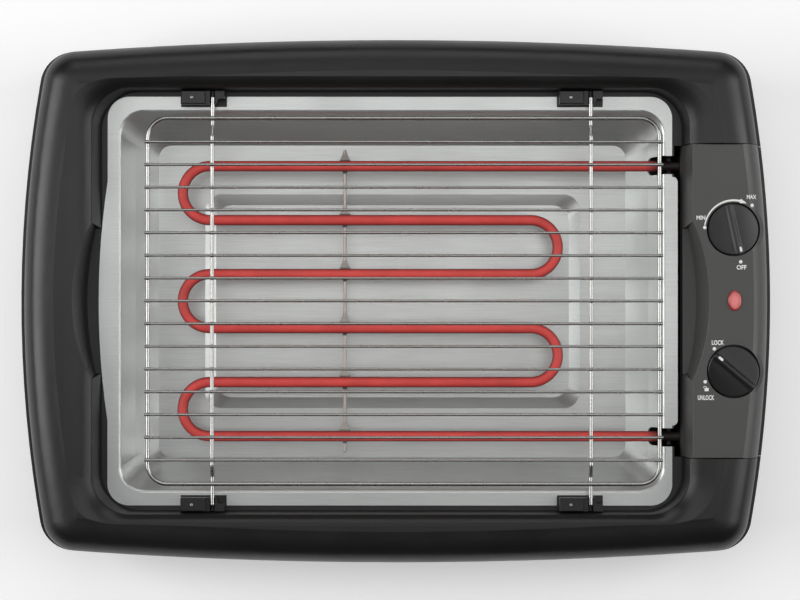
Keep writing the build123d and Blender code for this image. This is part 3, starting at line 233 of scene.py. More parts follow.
def add_piece(name, mesh, material, body):
    """Puts a finished mesh into the scene as a piece that rides on a body."""
    mesh.materials.append(material)
    mesh.update()
    piece = bpy.data.objects.new(name, mesh)
    bpy.context.scene.collection.objects.link(piece)
    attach(piece, body)
    return piece


def surface(name, points, faces, material, body, slot, closed=False, smooth=True):
    """A piece from arrays of points and faces. A closed one has its poles merged and its faces
    turned outwards."""
    mesh = bpy.data.meshes.new(name)
    mesh.from_pydata(points.reshape(-1, 3).tolist(), [], faces.tolist())
    if closed:
        shell = bmesh.new()
        shell.from_mesh(mesh)
        bmesh.ops.remove_doubles(shell, verts=shell.verts, dist=1e-7)
        bmesh.ops.recalc_face_normals(shell, faces=shell.faces)
        shell.to_mesh(mesh)
        shell.free()
    mesh.polygons.foreach_set("use_smooth", np.full(len(mesh.polygons), smooth))
    return add_piece(name, mesh, material, body)


def printed(name, x, y, faces):
    """A flat piece of print: plan points at the height of the cover's top."""
    points = np.stack([x, y, np.full_like(x, PRINT_HEIGHT)], axis=-1)
    surface(name, points, faces, white_print, "heating_unit", "ceramic")


def arrow_band(centre, radius, start, stop, steps=97):
    """A band round a centre. Its half width grows in proportion to the turn, then jumps to an
    arrow head that narrows to a point over the last share."""
    share = np.linspace(0, 1, steps)
    turn = np.radians(start + (stop - start) * share)
    shaft = ARC_HALF_THIN + (ARC_HALF_THICK - ARC_HALF_THIN) * share
    head = np.clip((1 - share) / ARROW_SHARE, 0, 1) * ARROW_HALF
    half = np.where(share < 1 - ARROW_SHARE, shaft, head)
    reach = radius + np.stack([-half, half])
    x = centre[0] + reach * np.cos(turn)
    y = centre[1] + reach * np.sin(turn)
    return x, y, grid_faces(2, steps)


def disc(centre, radius, steps=24):
    """A circle's points, by cosine and sine, with one many-sided face."""
    turn = np.linspace(0, 2 * np.pi, steps, endpoint=False)
    x = centre[0] + radius * np.cos(turn)
    y = centre[1] + radius * np.sin(turn)
    return x, y, np.arange(steps)[None, :]


def open_shackle(foot, radius, half, steps=25):
    """A shackle swung open to the left of its foot: a band along a clockwise half turn."""
    turn = np.linspace(np.pi, 0, steps)
    reach = radius + np.array([[-half], [half]])
    x = foot[0] - radius + reach * np.cos(turn)
    y = foot[1] + reach * np.sin(turn)
    return x, y, grid_faces(2, steps)


def ink_group():
    """Thin spots in the print, which let a little of the plastic's black through."""
    group = bpy.data.node_groups.new("printed_ink", "ShaderNodeTree")
    add_socket(group, "Ink", "NodeSocketColor", (0.9, 0.9, 0.88, 1))
    add_socket(group, "Thin", "NodeSocketColor", (0.7, 0.7, 0.68, 1))
    add_socket(group, "Colour", "NodeSocketColor", out=True)
    add_socket(group, "Roughness", "NodeSocketFloat", out=True)
    link = group.links.new
    given = make_node(group, "NodeGroupInput")
    result = make_node(group, "NodeGroupOutput")
    place = make_node(group, "ShaderNodeTexCoord")
    spots = make_node(group, "ShaderNodeTexNoise", Scale=2600.0, Detail=2.0)
    cut = make_node(group, "ShaderNodeMapRange", From_Min=0.55, From_Max=0.75)
    mix = make_node(group, "ShaderNodeMix", data_type="RGBA")
    rough = make_node(group, "ShaderNodeMapRange", To_Min=0.45, To_Max=0.65)
    link(place.outputs["Object"], spots.inputs["Vector"])
    link(spots.outputs["Fac"], cut.inputs["Value"])
    link(cut.outputs["Result"], mix.inputs["Factor"])
    link(given.outputs["Ink"], mix.inputs["A"])
    link(given.outputs["Thin"], mix.inputs["B"])
    link(spots.outputs["Fac"], rough.inputs["Value"])
    link(mix.outputs["Result"], result.inputs["Colour"])
    link(rough.outputs["Result"], result.inputs["Roughness"])
    return group


printed_ink = ink_group()
white_print, shader = new_material("white_print")
place_group(white_print, shader, printed_ink, {})
printed("dial_arrow", *arrow_band(THERMOSTAT, ARC_RADIUS, ARC_START, ARC_STOP))
for index, (centre, offset) in enumerate(DOTS):
    place = (centre[0] + offset[0], centre[1] + offset[1])
    printed(f"dial_dot_{index + 1}", *disc(place, DOT_RADIUS))


def printed_word(word, centre, size):
    """Plain capitals made a flat mesh, stretched to a width and a height and centred on a point of
    the cover."""
    letters = bpy.data.curves.new(f"word_{word}", "FONT")
    letters.body = word
    letters.size = size[1] * TYPE_SIZE
    letters.align_x = "CENTER"
    letters.align_y = "CENTER"
    letters.offset = size[1] * TYPE_SWELL
    letters.resolution_u = 4
    holder = bpy.data.objects.new(f"holder_{word}", letters)
    bpy.context.scene.collection.objects.link(holder)
    bpy.context.view_layer.update()
    mesh = bpy.data.meshes.new_from_object(holder)
    bpy.data.objects.remove(holder)
    points = np.empty(len(mesh.vertices) * 3)
    mesh.vertices.foreach_get("co", points)
    points = points.reshape(-1, 3)
    low, high = points.min(axis=0), points.max(axis=0)
    stretch = (size[0] / (high[0] - low[0]), size[1] / (high[1] - low[1]), 1)
    points = (points - (low + high) / 2) * stretch + (*centre, PRINT_HEIGHT)
    mesh.vertices.foreach_set("co", points.ravel())
    add_piece(f"word_{word.lower()}", mesh, white_print, "heating_unit")


for word, centre, offset, size in WORDS:
    printed_word(word, (centre[0] + offset[0], centre[1] + offset[1]), size)

case_x = PADLOCK[0] + PADLOCK_HALF[0] * np.array([-1, 1, 1, -1])
case_y = PADLOCK[1] + PADLOCK_HALF[1] * np.array([-1, -1, 1, 1])
printed("padlock_case", case_x, case_y, np.array([[0, 1, 2, 3]]))
shackle_foot = (PADLOCK[0], PADLOCK[1] + PADLOCK_HALF[1])
printed("padlock_shackle", *open_shackle(shackle_foot, SHACKLE_RADIUS, SHACKLE_HALF))

# Control knobs
# Two black moulded knobs that lie almost flush in the cover. A straight grip with sloping sides
# crosses each one. The face falls away to the rim beside it, and a white bar is printed by its
# end.
BAR_HALF = 0.00095
GRIP_EDGE = 0.00045
GRIP_FOOT = 0.0034
GRIP_DROP = 0.0015
FACE_DROP = 0.0031
RIM_DROP = 0.0005
RIM_START = 0.95
PRINT_SKIN = 0.00005
# Each knob with its centre, its grip's compass angle, and its bar's middle and length.
KNOBS = (
    ("thermostat", THERMOSTAT, 167.6, (0.0148, -0.0017), 0.0036),
    ("lock", LOCK, -50.0, (0.0130, 0.0010), 0.0042),
)
knob_plastic, shader = new_material("knob_plastic")
place_group(
    knob_plastic,
    shader,
    moulded_surface,
    {
        "Dark": (0.010, 0.010, 0.0105, 1),
        "Light": (0.018, 0.018, 0.0185, 1),
        "Roughness Low": 0.26,
    },
)


def knob_size(name):
    """The bottom, the top and the radius of a knob."""
    low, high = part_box(name)
    return low[2], high[2], (high[0] - low[0]) / 2


def knob_height(along, across, top, radius):
    """Height of the face: a cosine step down from the grip's edge to its foot, then a fall of
    half in proportion to the distance and half with its square, to the rim. The last twentieth
    of the radius rounds off by a square. All of it lies a print's thickness below the top."""
    far = np.abs(across)
    step = 0.5 - 0.5 * np.cos(np.pi * np.clip((far - GRIP_EDGE) / (GRIP_FOOT - GRIP_EDGE), 0, 1))
    bend = np.clip((far - GRIP_FOOT) / (radius - GRIP_FOOT), 0, 1)
    edge = np.clip((np.hypot(along, across) / radius - RIM_START) / (1 - RIM_START), 0, 1)
    fall = GRIP_DROP * step + FACE_DROP * (bend + bend**2) / 2 + RIM_DROP * edge**2
    return top - PRINT_SKIN - fall


def turned(centre, angle, along, across):
    """Plan coordinates of points given along and across a compass angle."""
    turn = math.radians(angle)
    x = centre[0] + along * math.sin(turn) + across * math.cos(turn)
    y = centre[1] + along * math.cos(turn) - across * math.sin(turn)
    return x, y


def knob_form(centre, angle, low, top, radius, columns=112):
    """Rings from the middle out over the face, down the side, and back to the middle below."""
    turn = np.linspace(0, 2 * np.pi, columns, endpoint=False)
    share = np.concatenate([np.linspace(0, RIM_START - 0.01, 44), np.linspace(RIM_START, 1, 6)])
    share = share[:, None]
    along = share * radius * np.cos(turn)
    across = share * radius * np.sin(turn)
    face = knob_height(along, across, top, radius)
    along = np.concatenate([along, along[-1:], along[-1:], along[:1]])
    across = np.concatenate([across, across[-1:], across[-1:], across[:1]])
    below = np.full((1, columns), low)
    z = np.concatenate([face, face[-1:] - RIM_DROP, below, below])
    x, y = turned(centre, angle, along, across)
    return np.stack([x, y, z], axis=-1), grid_faces(len(z), columns, wrap=True)


for name, centre, angle, *_ in KNOBS:
    node = f"{name}_knob"
    form = knob_form(centre, angle, *knob_size(node))
    knob = surface(f"{node}_turned", *form, knob_plastic, node, "knob_plastic", closed=True)
    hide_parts(node)


def printed_bar(centre, angle, middle, length, half, top, radius, rows=9, steps=33):
    """A bar laid on the knob's face, with round ends: its half width follows a circle at each."""
    share = np.linspace(-1, 1, steps)
    past = np.clip(np.abs(share) * length / 2 - (length / 2 - half), 0, half)
    width = np.sqrt(np.maximum(half**2 - past**2, 0))
    across = middle[1] + np.linspace(1, -1, rows)[:, None] * width
    along = middle[0] + share * length / 2 + 0 * across
    x, y = turned(centre, angle, along, across)
    z = knob_height(along, across, top, radius) + PRINT_SKIN
    return np.stack([x, y, z], axis=-1), grid_faces(rows, steps)


for name, centre, angle, middle, length in KNOBS:
    node = f"{name}_knob"
    bar = printed_bar(centre, angle, middle, length, BAR_HALF, *knob_size(node)[1:])
    surface(f"{name}_pointer", *bar, white_print, node, "ceramic")

# Pilot lamp
# An oval domed lens of clear red plastic, set in the cover and lit from below by a small neon
# bulb. Fine prisms on its inner side break up the glow.
GLOW_REACH = (0.005, 0.0073, 0.02)
lamp_lens, shader = new_material("lamp_lens", roughness=0.16)
shader.inputs["Base Color"].default_value = (0.34, 0.035, 0.03, 1)
shader.inputs["Coat Weight"].default_value = 0.6
shader.inputs["Coat Roughness"].default_value = 0.05
shader.inputs["Emission Strength"].default_value = 0.42


def lens_glow():
    """A glow that is strongest under the middle of the lens, broken by fine prisms inside it."""
    group = bpy.data.node_groups.new("lens_glow", "ShaderNodeTree")
    add_socket(group, "Middle", "NodeSocketVector", (0, 0, 0))
    add_socket(group, "Size", "NodeSocketVector", (1, 1, 1))
    add_socket(group, "Glow", "NodeSocketColor", out=True)
    link = group.links.new
    given = make_node(group, "NodeGroupInput")
    result = make_node(group, "NodeGroupOutput")
    place = make_node(group, "ShaderNodeTexCoord")
    away = make_node(group, "ShaderNodeVectorMath", operation="SUBTRACT")
    share = make_node(group, "ShaderNodeVectorMath", operation="DIVIDE")
    far = make_node(group, "ShaderNodeVectorMath", operation="LENGTH")
    prisms = make_node(group, "ShaderNodeTexWave", Scale=420.0, Distortion=0.4)
    ramp = make_node(group, "ShaderNodeMapRange", From_Min=0.35, From_Max=0.95)
    ramp.inputs["To Min"].default_value = 1.0
    ramp.inputs["To Max"].default_value = 0.0
    dim = make_node(group, "ShaderNodeMapRange", To_Min=0.75, To_Max=1.0)
    both = make_node(group, "ShaderNodeMath", operation="MULTIPLY")
    mix = make_node(group, "ShaderNodeMix", data_type="RGBA")
    mix.inputs["A"].default_value = (0.1, 0.006, 0.006, 1)
    mix.inputs["B"].default_value = (0.9, 0.26, 0.25, 1)
    link(place.outputs["Object"], away.inputs[0])
    link(given.outputs["Middle"], away.inputs[1])
    link(away.outputs[0], share.inputs[0])
    link(given.outputs["Size"], share.inputs[1])
    link(share.outputs[0], far.inputs[0])
    link(far.outputs["Value"], ramp.inputs["Value"])
    link(place.outputs["Object"], prisms.inputs["Vector"])
    link(prisms.outputs["Fac"], dim.inputs["Value"])
    link(ramp.outputs["Result"], both.inputs[0])
    link(dim.outputs["Result"], both.inputs[1])
    link(both.outputs[0], mix.inputs["Factor"])
    link(mix.outputs["Result"], result.inputs["Glow"])
    return group


lens_low, lens_high = np.array(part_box("pilot_lens"))
lens_top = [*((lens_low + lens_high) / 2)[:2].tolist(), float(lens_high[2])]
glow = place_group(lamp_lens, shader, lens_glow(), {"Middle": lens_top, "Size": GLOW_REACH})
lamp_lens.node_tree.links.new(glow.outputs["Glow"], shader.inputs["Emission Color"])
dress(lamp_lens, "pilot_lens")

# Grate brackets, feet and gland
# The brackets are small black mouldings pinned to the ledge. The feet and the gland are soft
# black rubber, and the feet are screwed up into the base pan.
bracket_plastic, shader = new_material("bracket_plastic")
place_group(
    bracket_plastic,
    shader,
    moulded_surface,
    {
        "Dark": (0.006, 0.006, 0.006, 1),
        "Light": (0.011, 0.011, 0.011, 1),
        "Roughness Low": 0.26,
    },
)
brackets = [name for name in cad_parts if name.startswith("bracket_")]
dress(bracket_plastic, *[name for name in brackets if name != "bracket_pins"])
foot_rubber, shader = new_material("foot_rubber")
place_group(
    foot_rubber,
    shader,
    moulded_surface,
    {
        "Dark": (0.017, 0.017, 0.017, 1),
        "Light": (0.032, 0.031, 0.03, 1),
        "Grain Depth": 0.00006,
        "Roughness Low": 0.7,
        "Roughness High": 0.85,
    },
)
feet = [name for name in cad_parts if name.startswith("foot_")]
dress(foot_rubber, "cord_gland", *[name for name in feet if name != "foot_screws"])

# Drip tray
# One pressed sheet of brushed steel. Its grain runs along the tray, and at the rounded corners
# the press has drawn it into fine lines that fan out.
TRAY_LOW, TRAY_HIGH = np.array(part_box("drip_tray"))
TRAY_MIDDLE_X = float(TRAY_LOW[0] + TRAY_HIGH[0]) / 2
TRAY_CORNER = (0.178, 0.120, 0.0)
BRUSH_WIDTH = 0.0006


def brushed_group():
    """Long thin streaks along X. Beyond the corner centres they follow the angle round them."""
    group = bpy.data.node_groups.new("brushed_metal", "ShaderNodeTree")
    add_socket(group, "Dark", "NodeSocketColor", (0.42, 0.42, 0.42, 1))
    add_socket(group, "Light", "NodeSocketColor", (0.58, 0.58, 0.58, 1))
    add_socket(group, "Depth", "NodeSocketFloat", 0.000012)
    add_socket(group, "Roughness Low", "NodeSocketFloat", 0.3)
    add_socket(group, "Roughness High", "NodeSocketFloat", 0.4)
    add_socket(group, "Middle", "NodeSocketVector", (0, 0, 0))
    add_socket(group, "Corner", "NodeSocketVector", (9, 9, 9))
    add_socket(group, "Colour", "NodeSocketColor", out=True)
    add_socket(group, "Roughness", "NodeSocketFloat", out=True)
    add_socket(group, "Normal", "NodeSocketVector", out=True)
    link = group.links.new
    given = make_node(group, "NodeGroupInput")
    result = make_node(group, "NodeGroupOutput")
    place = make_node(group, "ShaderNodeTexCoord")
    away = make_node(group, "ShaderNodeVectorMath", operation="SUBTRACT")
    even = make_node(group, "ShaderNodeVectorMath", operation="ABSOLUTE")
    past = make_node(group, "ShaderNodeVectorMath", operation="SUBTRACT")
    split = make_node(group, "ShaderNodeSeparateXYZ")
    right = make_node(group, "ShaderNodeMath", operation="MAXIMUM")
    right.inputs[1].default_value = 0.0
    up = make_node(group, "ShaderNodeMath", operation="MAXIMUM")
    up.inputs[1].default_value = 0.0
    angle = make_node(group, "ShaderNodeMath", operation="ARCTAN2")
    fan = make_node(group, "ShaderNodeTexNoise", noise_dimensions="1D", Scale=38.0, Detail=3.0)
    inner = make_node(group, "ShaderNodeMath", operation="MINIMUM")
    corner_mask = make_node(group, "ShaderNodeMapRange", From_Min=0.0005, From_Max=0.004)
    stretch = make_node(group, "ShaderNodeMapping", Scale=(0.02, 1, 1))
    streaks = make_node(group, "ShaderNodeTexNoise", Scale=1 / BRUSH_WIDTH, Detail=3.0)
    both = make_node(group, "ShaderNodeMix", data_type="FLOAT")
    clouds = make_node(group, "ShaderNodeTexNoise", Scale=14.0, Detail=5.0)
    mix = make_node(group, "ShaderNodeMix", data_type="RGBA")
    spread = make_node(group, "ShaderNodeMapRange", From_Min=0.3, From_Max=0.7)
    bump = make_node(group, "ShaderNodeBump")
    link(place.outputs["Object"], away.inputs[0])
    link(given.outputs["Middle"], away.inputs[1])
    link(away.outputs[0], even.inputs[0])
    link(even.outputs[0], past.inputs[0])
    link(given.outputs["Corner"], past.inputs[1])
    link(past.outputs[0], split.inputs["Vector"])
    link(split.outputs["X"], right.inputs[0])
    link(split.outputs["Y"], up.inputs[0])
    link(up.outputs[0], angle.inputs[0])
    link(right.outputs[0], angle.inputs[1])
    link(angle.outputs[0], fan.inputs["W"])
    link(right.outputs[0], inner.inputs[0])
    link(up.outputs[0], inner.inputs[1])
    link(inner.outputs[0], corner_mask.inputs["Value"])
    link(place.outputs["Object"], stretch.inputs["Vector"])
    link(stretch.outputs["Vector"], streaks.inputs["Vector"])
    link(place.outputs["Object"], clouds.inputs["Vector"])
    link(corner_mask.outputs["Result"], both.inputs[0])
    link(streaks.outputs["Fac"], both.inputs[2])
    link(fan.outputs["Fac"], both.inputs[3])
    link(both.outputs[0], mix.inputs["Factor"])
    link(given.outputs["Dark"], mix.inputs["A"])
    link(given.outputs["Light"], mix.inputs["B"])
    link(clouds.outputs["Fac"], spread.inputs["Value"])
    link(given.outputs["Roughness Low"], spread.inputs["To Min"])
    link(given.outputs["Roughness High"], spread.inputs["To Max"])
    link(both.outputs[0], bump.inputs["Height"])
    link(given.outputs["Depth"], bump.inputs["Distance"])
    link(mix.outputs["Result"], result.inputs["Colour"])
    link(spread.outputs["Result"], result.inputs["Roughness"])
    link(bump.outputs["Normal"], result.inputs["Normal"])
    return group


brushed_metal = brushed_group()
tray_steel, shader = new_material("tray_steel", metallic=0.75)
place_group(
    tray_steel,
    shader,
    brushed_metal,
    {
        "Dark": (0.5, 0.513, 0.504, 1),
        "Light": (0.7, 0.717, 0.704, 1),
        "Middle": (TRAY_MIDDLE_X, 0.0, 0.0),
        "Corner": TRAY_CORNER,
    },
)
dress(tray_steel, "drip_tray")

# Heating element
# A steel-sheathed tube in six runs, hot and dull red between its cold ends. Its flanks are painted
# darker by the height of the normal, a painted shade that rounds the tube in colour and glow. The
# cold ends by the control box are nearly black, and rolled down to enter it.
HOT_STOP = 0.181
COLD_START = 0.192
TUBE_LOW, TUBE_HIGH = np.array(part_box("heating_element"))
TUBE_LEFT_BEND = -0.135
TUBE_RIGHT_BEND = 0.098
TUBE_RUNS = 6
TUBE_END_RADIUS = (TUBE_HIGH[2] - TUBE_LOW[2]) / 2
TUBE_HOT_RADIUS = 0.0038
TUBE_HEIGHT = (TUBE_LOW[2] + TUBE_HIGH[2]) / 2
RUN_LINES = np.linspace(1, -1, TUBE_RUNS) * (TUBE_HIGH[1] - TUBE_END_RADIUS)
ROLLED_FROM = 0.194
ROLLED_TO = 0.2
element_sheath, shader = new_material("element_sheath", roughness=0.55)
shader.inputs["Emission Strength"].default_value = 0.16


def heated_group():
    """Red where X is left of the cold end, with painted shade on the flanks by the height of the
    normal, in both the colour and the glow.
    """
    group = bpy.data.node_groups.new("heated_sheath", "ShaderNodeTree")
    add_socket(group, "Hot", "NodeSocketColor", (0.66, 0.068, 0.06, 1))
    add_socket(group, "Painted Flank Shade", "NodeSocketColor", (0.13, 0.012, 0.011, 1))
    add_socket(group, "Cold", "NodeSocketColor", (0.02, 0.012, 0.012, 1))
    add_socket(group, "Colour", "NodeSocketColor", out=True)
    add_socket(group, "Glow", "NodeSocketColor", out=True)
    add_socket(group, "Normal", "NodeSocketVector", out=True)
    link = group.links.new
    given = make_node(group, "NodeGroupInput")
    result = make_node(group, "NodeGroupOutput")
    place = make_node(group, "ShaderNodeTexCoord")
    split = make_node(group, "ShaderNodeSeparateXYZ")
    form = make_node(group, "ShaderNodeSeparateXYZ")
    cold = make_node(group, "ShaderNodeMapRange", From_Min=HOT_STOP, From_Max=COLD_START)
    # Painted shade: the flanks fade from hot red to a dark colour as the normal turns from
    # upright.
    flank = make_node(group, "ShaderNodeMapRange", From_Min=0.3, From_Max=0.92)
    speckle = make_node(group, "ShaderNodeTexNoise", Scale=700.0, Detail=4.0)
    patches = make_node(group, "ShaderNodeTexNoise", Scale=45.0, Detail=4.0)
    worn = make_node(group, "ShaderNodeMapRange", From_Min=0.35, From_Max=0.75)
    worn.inputs["To Min"].default_value = 1.0
    worn.inputs["To Max"].default_value = 0.72
    amount = make_node(group, "ShaderNodeMath", operation="MULTIPLY")
    red = make_node(group, "ShaderNodeMix", data_type="RGBA")
    ends = make_node(group, "ShaderNodeMix", data_type="RGBA")
    glow = make_node(group, "ShaderNodeMix", data_type="RGBA")
    glow.inputs["B"].default_value = (0, 0, 0, 1)
    bump = make_node(group, "ShaderNodeBump", Distance=0.00003)
    link(place.outputs["Object"], split.inputs["Vector"])
    link(place.outputs["Normal"], form.inputs["Vector"])
    link(split.outputs["X"], cold.inputs["Value"])
    link(form.outputs["Z"], flank.inputs["Value"])
    link(place.outputs["Object"], speckle.inputs["Vector"])
    link(place.outputs["Object"], patches.inputs["Vector"])
    link(patches.outputs["Fac"], worn.inputs["Value"])
    link(flank.outputs["Result"], amount.inputs[0])
    link(worn.outputs["Result"], amount.inputs[1])
    link(amount.outputs[0], red.inputs["Factor"])
    link(given.outputs["Painted Flank Shade"], red.inputs["A"])
    link(given.outputs["Hot"], red.inputs["B"])
    link(cold.outputs["Result"], ends.inputs["Factor"])
    link(red.outputs["Result"], ends.inputs["A"])
    link(given.outputs["Cold"], ends.inputs["B"])
    link(cold.outputs["Result"], glow.inputs["Factor"])
    link(red.outputs["Result"], glow.inputs["A"])
    link(speckle.outputs["Fac"], bump.inputs["Height"])
    link(ends.outputs["Result"], result.inputs["Colour"])
    link(glow.outputs["Result"], result.inputs["Glow"])
    link(bump.outputs["Normal"], result.inputs["Normal"])
    return group


heat = place_group(element_sheath, shader, heated_group(), {})
element_sheath.node_tree.links.new(heat.outputs["Glow"], shader.inputs["Emission Color"])


def tube_route(straight_points=90, bend_points=33):
    """Centre line of the runs: straights with a point every 4 mm or less, half circles by sine
    and cosine between them."""
    bend = (RUN_LINES[0] - RUN_LINES[1]) / 2
    rows = []
    for run, y in enumerate(RUN_LINES):
        leftward = run % 2 == 0
        start = TUBE_RIGHT_BEND if leftward else TUBE_LEFT_BEND
        stop = TUBE_LEFT_BEND if leftward else TUBE_RIGHT_BEND
        start = TUBE_HIGH[0] if run == 0 else start
        stop = TUBE_HIGH[0] if run == TUBE_RUNS - 1 else stop
        straight = np.linspace(start, stop, straight_points)
        rows.append(np.column_stack([straight, np.full(straight_points, y)]))
        if run < TUBE_RUNS - 1:
            turn = np.linspace(0, np.pi, bend_points)[1:-1]
            swell = np.sin(turn) * bend * (-1 if leftward else 1)
            rows.append(np.column_stack([stop + swell, y - bend * (1 - np.cos(turn))]))
    return np.concatenate(rows)


def swept_tube(route, height, radius, columns=20):
    """Rings square to the route: the level normal and the upright, by cosine and sine of the turn,
    times a radius given at each point. The end rings shrink to points, which close the tube."""
    ahead = np.gradient(route, axis=0)
    ahead /= np.linalg.norm(ahead, axis=1)[:, None]
    level = np.column_stack([ahead[:, 1], -ahead[:, 0]])
    turn = np.linspace(0, 2 * np.pi, columns, endpoint=False)
    route = np.concatenate([route[:1], route, route[-1:]])
    level = np.concatenate([level[:1], level, level[-1:]])
    radius = np.concatenate([[0], radius, [0]])[:, None]
    x = route[:, :1] + level[:, :1] * radius * np.cos(turn)
    y = route[:, 1:] + level[:, 1:] * radius * np.cos(turn)
    z = height + radius * np.sin(turn)
    return np.stack([x, y, z], axis=-1), grid_faces(len(route), columns, wrap=True)


route = tube_route()
rolled = np.clip((route[:, 0] - ROLLED_FROM) / (ROLLED_TO - ROLLED_FROM), 0, 1)
rolled = rolled**2 * (3 - 2 * rolled)
tube_radius = TUBE_HOT_RADIUS + (TUBE_END_RADIUS - TUBE_HOT_RADIUS) * rolled
tube_form = swept_tube(route, TUBE_HEIGHT, tube_radius)
tube = surface(
    "heating_tube", *tube_form, element_sheath, "heating_unit", "element_sheath", closed=True
)
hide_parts("heating_element")

# Support and cradles
# A steel wire that lies across under the runs, darkened by the heat. A bent sheet cradle, welded
# to it, holds each run from below and reaches back along the wire as a small gusset.
support_steel, shader = new_material("support_steel", metallic=1.0)
place_group(
    support_steel,
    shader,
    brushed_metal,
    {"Dark": (0.26, 0.23, 0.21, 1), "Light": (0.4, 0.37, 0.35, 1), "Roughness High": 0.46},
)
dress(support_steel, "element_support")
CRADLE_SHEET = 0.0006
CRADLE_OUTLINE = (
    (-0.0055, 0.0012),
    (-0.0042, 0.0015),
    (-0.0037, 0.0020),
    (-0.0019, 0.0028),
    (0.0, 0.0034),
    (0.0019, 0.0038),
    (0.0037, 0.0040),
    (0.0045, 0.0038),
    (0.0065, 0.0028),
    (0.0085, 0.0019),
    (0.0115, 0.0012),
)
CRADLE_LIP = 0.86 * TUBE_HOT_RADIUS
GUSSET_BEND = 1.25 * TUBE_HOT_RADIUS
GUSSET_RISE = 0.5 * TUBE_HOT_RADIUS
WIRE_LOW, WIRE_HIGH = np.array(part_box("element_support"))


def cradle(middle, run_y, tube_z, radius, rows=49, columns=7):
    """A sheet's upper and lower faces, which close at its rim. Along the wire it follows the
    tube's underside, a circle round the tube's axis, up to its lips. Beyond them its height over
    the wire is interpolated, as its half width is all along."""
    stations, half_widths = zip(*CRADLE_OUTLINE)
    along = np.linspace(stations[0], stations[-1], rows)[:, None]
    half = np.interp(along, stations, half_widths)
    across = np.linspace(-1, 1, columns)
    under = tube_z - np.sqrt(np.maximum(radius**2 - along**2, 0))
    far = np.abs(along)
    rise = np.interp(far, (0, CRADLE_LIP, GUSSET_BEND, stations[-1]), (0, 1, 0.4, 0))
    beyond = WIRE_HIGH[2] - CRADLE_SHEET / 2 + rise * GUSSET_RISE
    top = np.where(far < CRADLE_LIP, under, beyond) + 0 * across
    x = middle + half * across
    y = run_y + along + 0 * across
    upper = np.stack([x, y, top], axis=-1)
    lower = upper - (0, 0, CRADLE_SHEET)
    ring = np.concatenate([upper, lower[:, ::-1]], axis=1)
    faces = grid_faces(rows, 2 * columns, wrap=True)
    left = np.arange(columns - 1)
    right = 2 * columns - 1 - left
    end = np.stack([left, left + 1, right - 1, right], axis=-1)
    return ring, np.concatenate([faces, end, end + (rows - 1) * 2 * columns])


def joined(forms):
    """The points and faces of like forms as one form, each form's faces shifted past the last."""
    points = np.stack([form[0] for form in forms]).reshape(-1, 3)
    count = len(points) // len(forms)
    return points, np.concatenate([form[1] + count * index for index, form in enumerate(forms)])


wire_x = (WIRE_LOW[0] + WIRE_HIGH[0]) / 2
cradles = surface(
    "support_cradles",
    *joined([cradle(wire_x, y, TUBE_HEIGHT, TUBE_HOT_RADIUS) for y in RUN_LINES]),
    support_steel,
    "heating_unit",
    "support_steel",
    closed=True,
    smooth=False,
)
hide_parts("support_clips")

# Shield, clamps and shafts
# Plain steel with a zinc finish: the heat shield and clamp plates in the box, the thermostat's
# plate and nut, the terminal pins, the two shafts and the pins of the brackets.
zinc_steel, shader = new_material("zinc_steel", metallic=1.0)
place_group(
    zinc_steel,
    shader,
    brushed_metal,
    {"Dark": (0.3, 0.29, 0.28, 1), "Light": (0.46, 0.45, 0.43, 1), "Roughness High": 0.5},
)
dress(zinc_steel, "heat_shield", "leg_clamps", "terminal_pins", "bracket_pins")
dress(zinc_steel, "thermostat_plate", "thermostat_nut", "thermostat_shaft", "lock_shaft")

# Screws
# Zinc-plated self-tapping screws with a pan head and a cross recess, driven up from below into
# the frame, the feet's bosses and the control box.
SCREW_PITCH = 0.0014
SCREW_THREAD_DEPTH = 0.00032
SCREW_REACH = 0.011
RINGS_PER_TURN = 6
HEAD_FACE = 0.94
HEAD_CROWN = 0.25
RECESS_HUB = 0.25
RECESS_ARM = 0.42
RECESS_DEPTH = 0.6


def screw_form(place, foot, head_radius, head_height, shank_radius, length, columns=24):
    """Rows of rings up the axis. The head's face looks down, rises to its edge with the square of
    the radius, and is sunk by a cross of two cosine lobes. Its flank swells by a sine. The
    shank's radius follows a triangle wave of height minus turn, which is the thread, and tapers
    by a square root over the last two pitches."""
    turn = np.linspace(0, 2 * np.pi, columns, endpoint=False)
    across = np.linspace(0, 1, 9)[:, None]
    cross = np.maximum(np.abs(np.cos(turn)), np.abs(np.sin(turn))) ** 24
    sunk = np.clip(1 - across / (RECESS_HUB + RECESS_ARM * cross), 0, 1) ** 0.6
    crown = HEAD_CROWN * across**2
    face_radius = across * head_radius * HEAD_FACE + 0 * turn
    face_height = foot + head_height * (crown + RECESS_DEPTH * sunk)
    lift = np.linspace(0, 1, 5)[:, None]
    swell = HEAD_FACE + (1 - HEAD_FACE) * np.sin(lift * np.pi / 2)
    flank_radius = head_radius * swell + 0 * turn
    flank_height = foot + head_height * (HEAD_CROWN + (1 - HEAD_CROWN) * lift) + 0 * turn
    rise = np.linspace(0, 1, int(length / SCREW_PITCH) * RINGS_PER_TURN)[:, None]
    wave = np.abs(((rise * length / SCREW_PITCH - turn / (2 * np.pi)) % 1) * 2 - 1)
    taper = np.clip((1 - rise) * length / (2 * SCREW_PITCH), 0, 1) ** 0.5
    shank = (shank_radius - SCREW_THREAD_DEPTH * wave) * taper
    shank_height = foot + head_height + rise * length + 0 * turn
    radius = np.concatenate([face_radius, flank_radius, shank])
    height = np.concatenate([face_height, flank_height, shank_height])
    x = place[0] + radius * np.cos(turn)
    y = place[1] + radius * np.sin(turn)
    return np.stack([x, y, height], axis=-1), grid_faces(len(radius), columns, wrap=True)


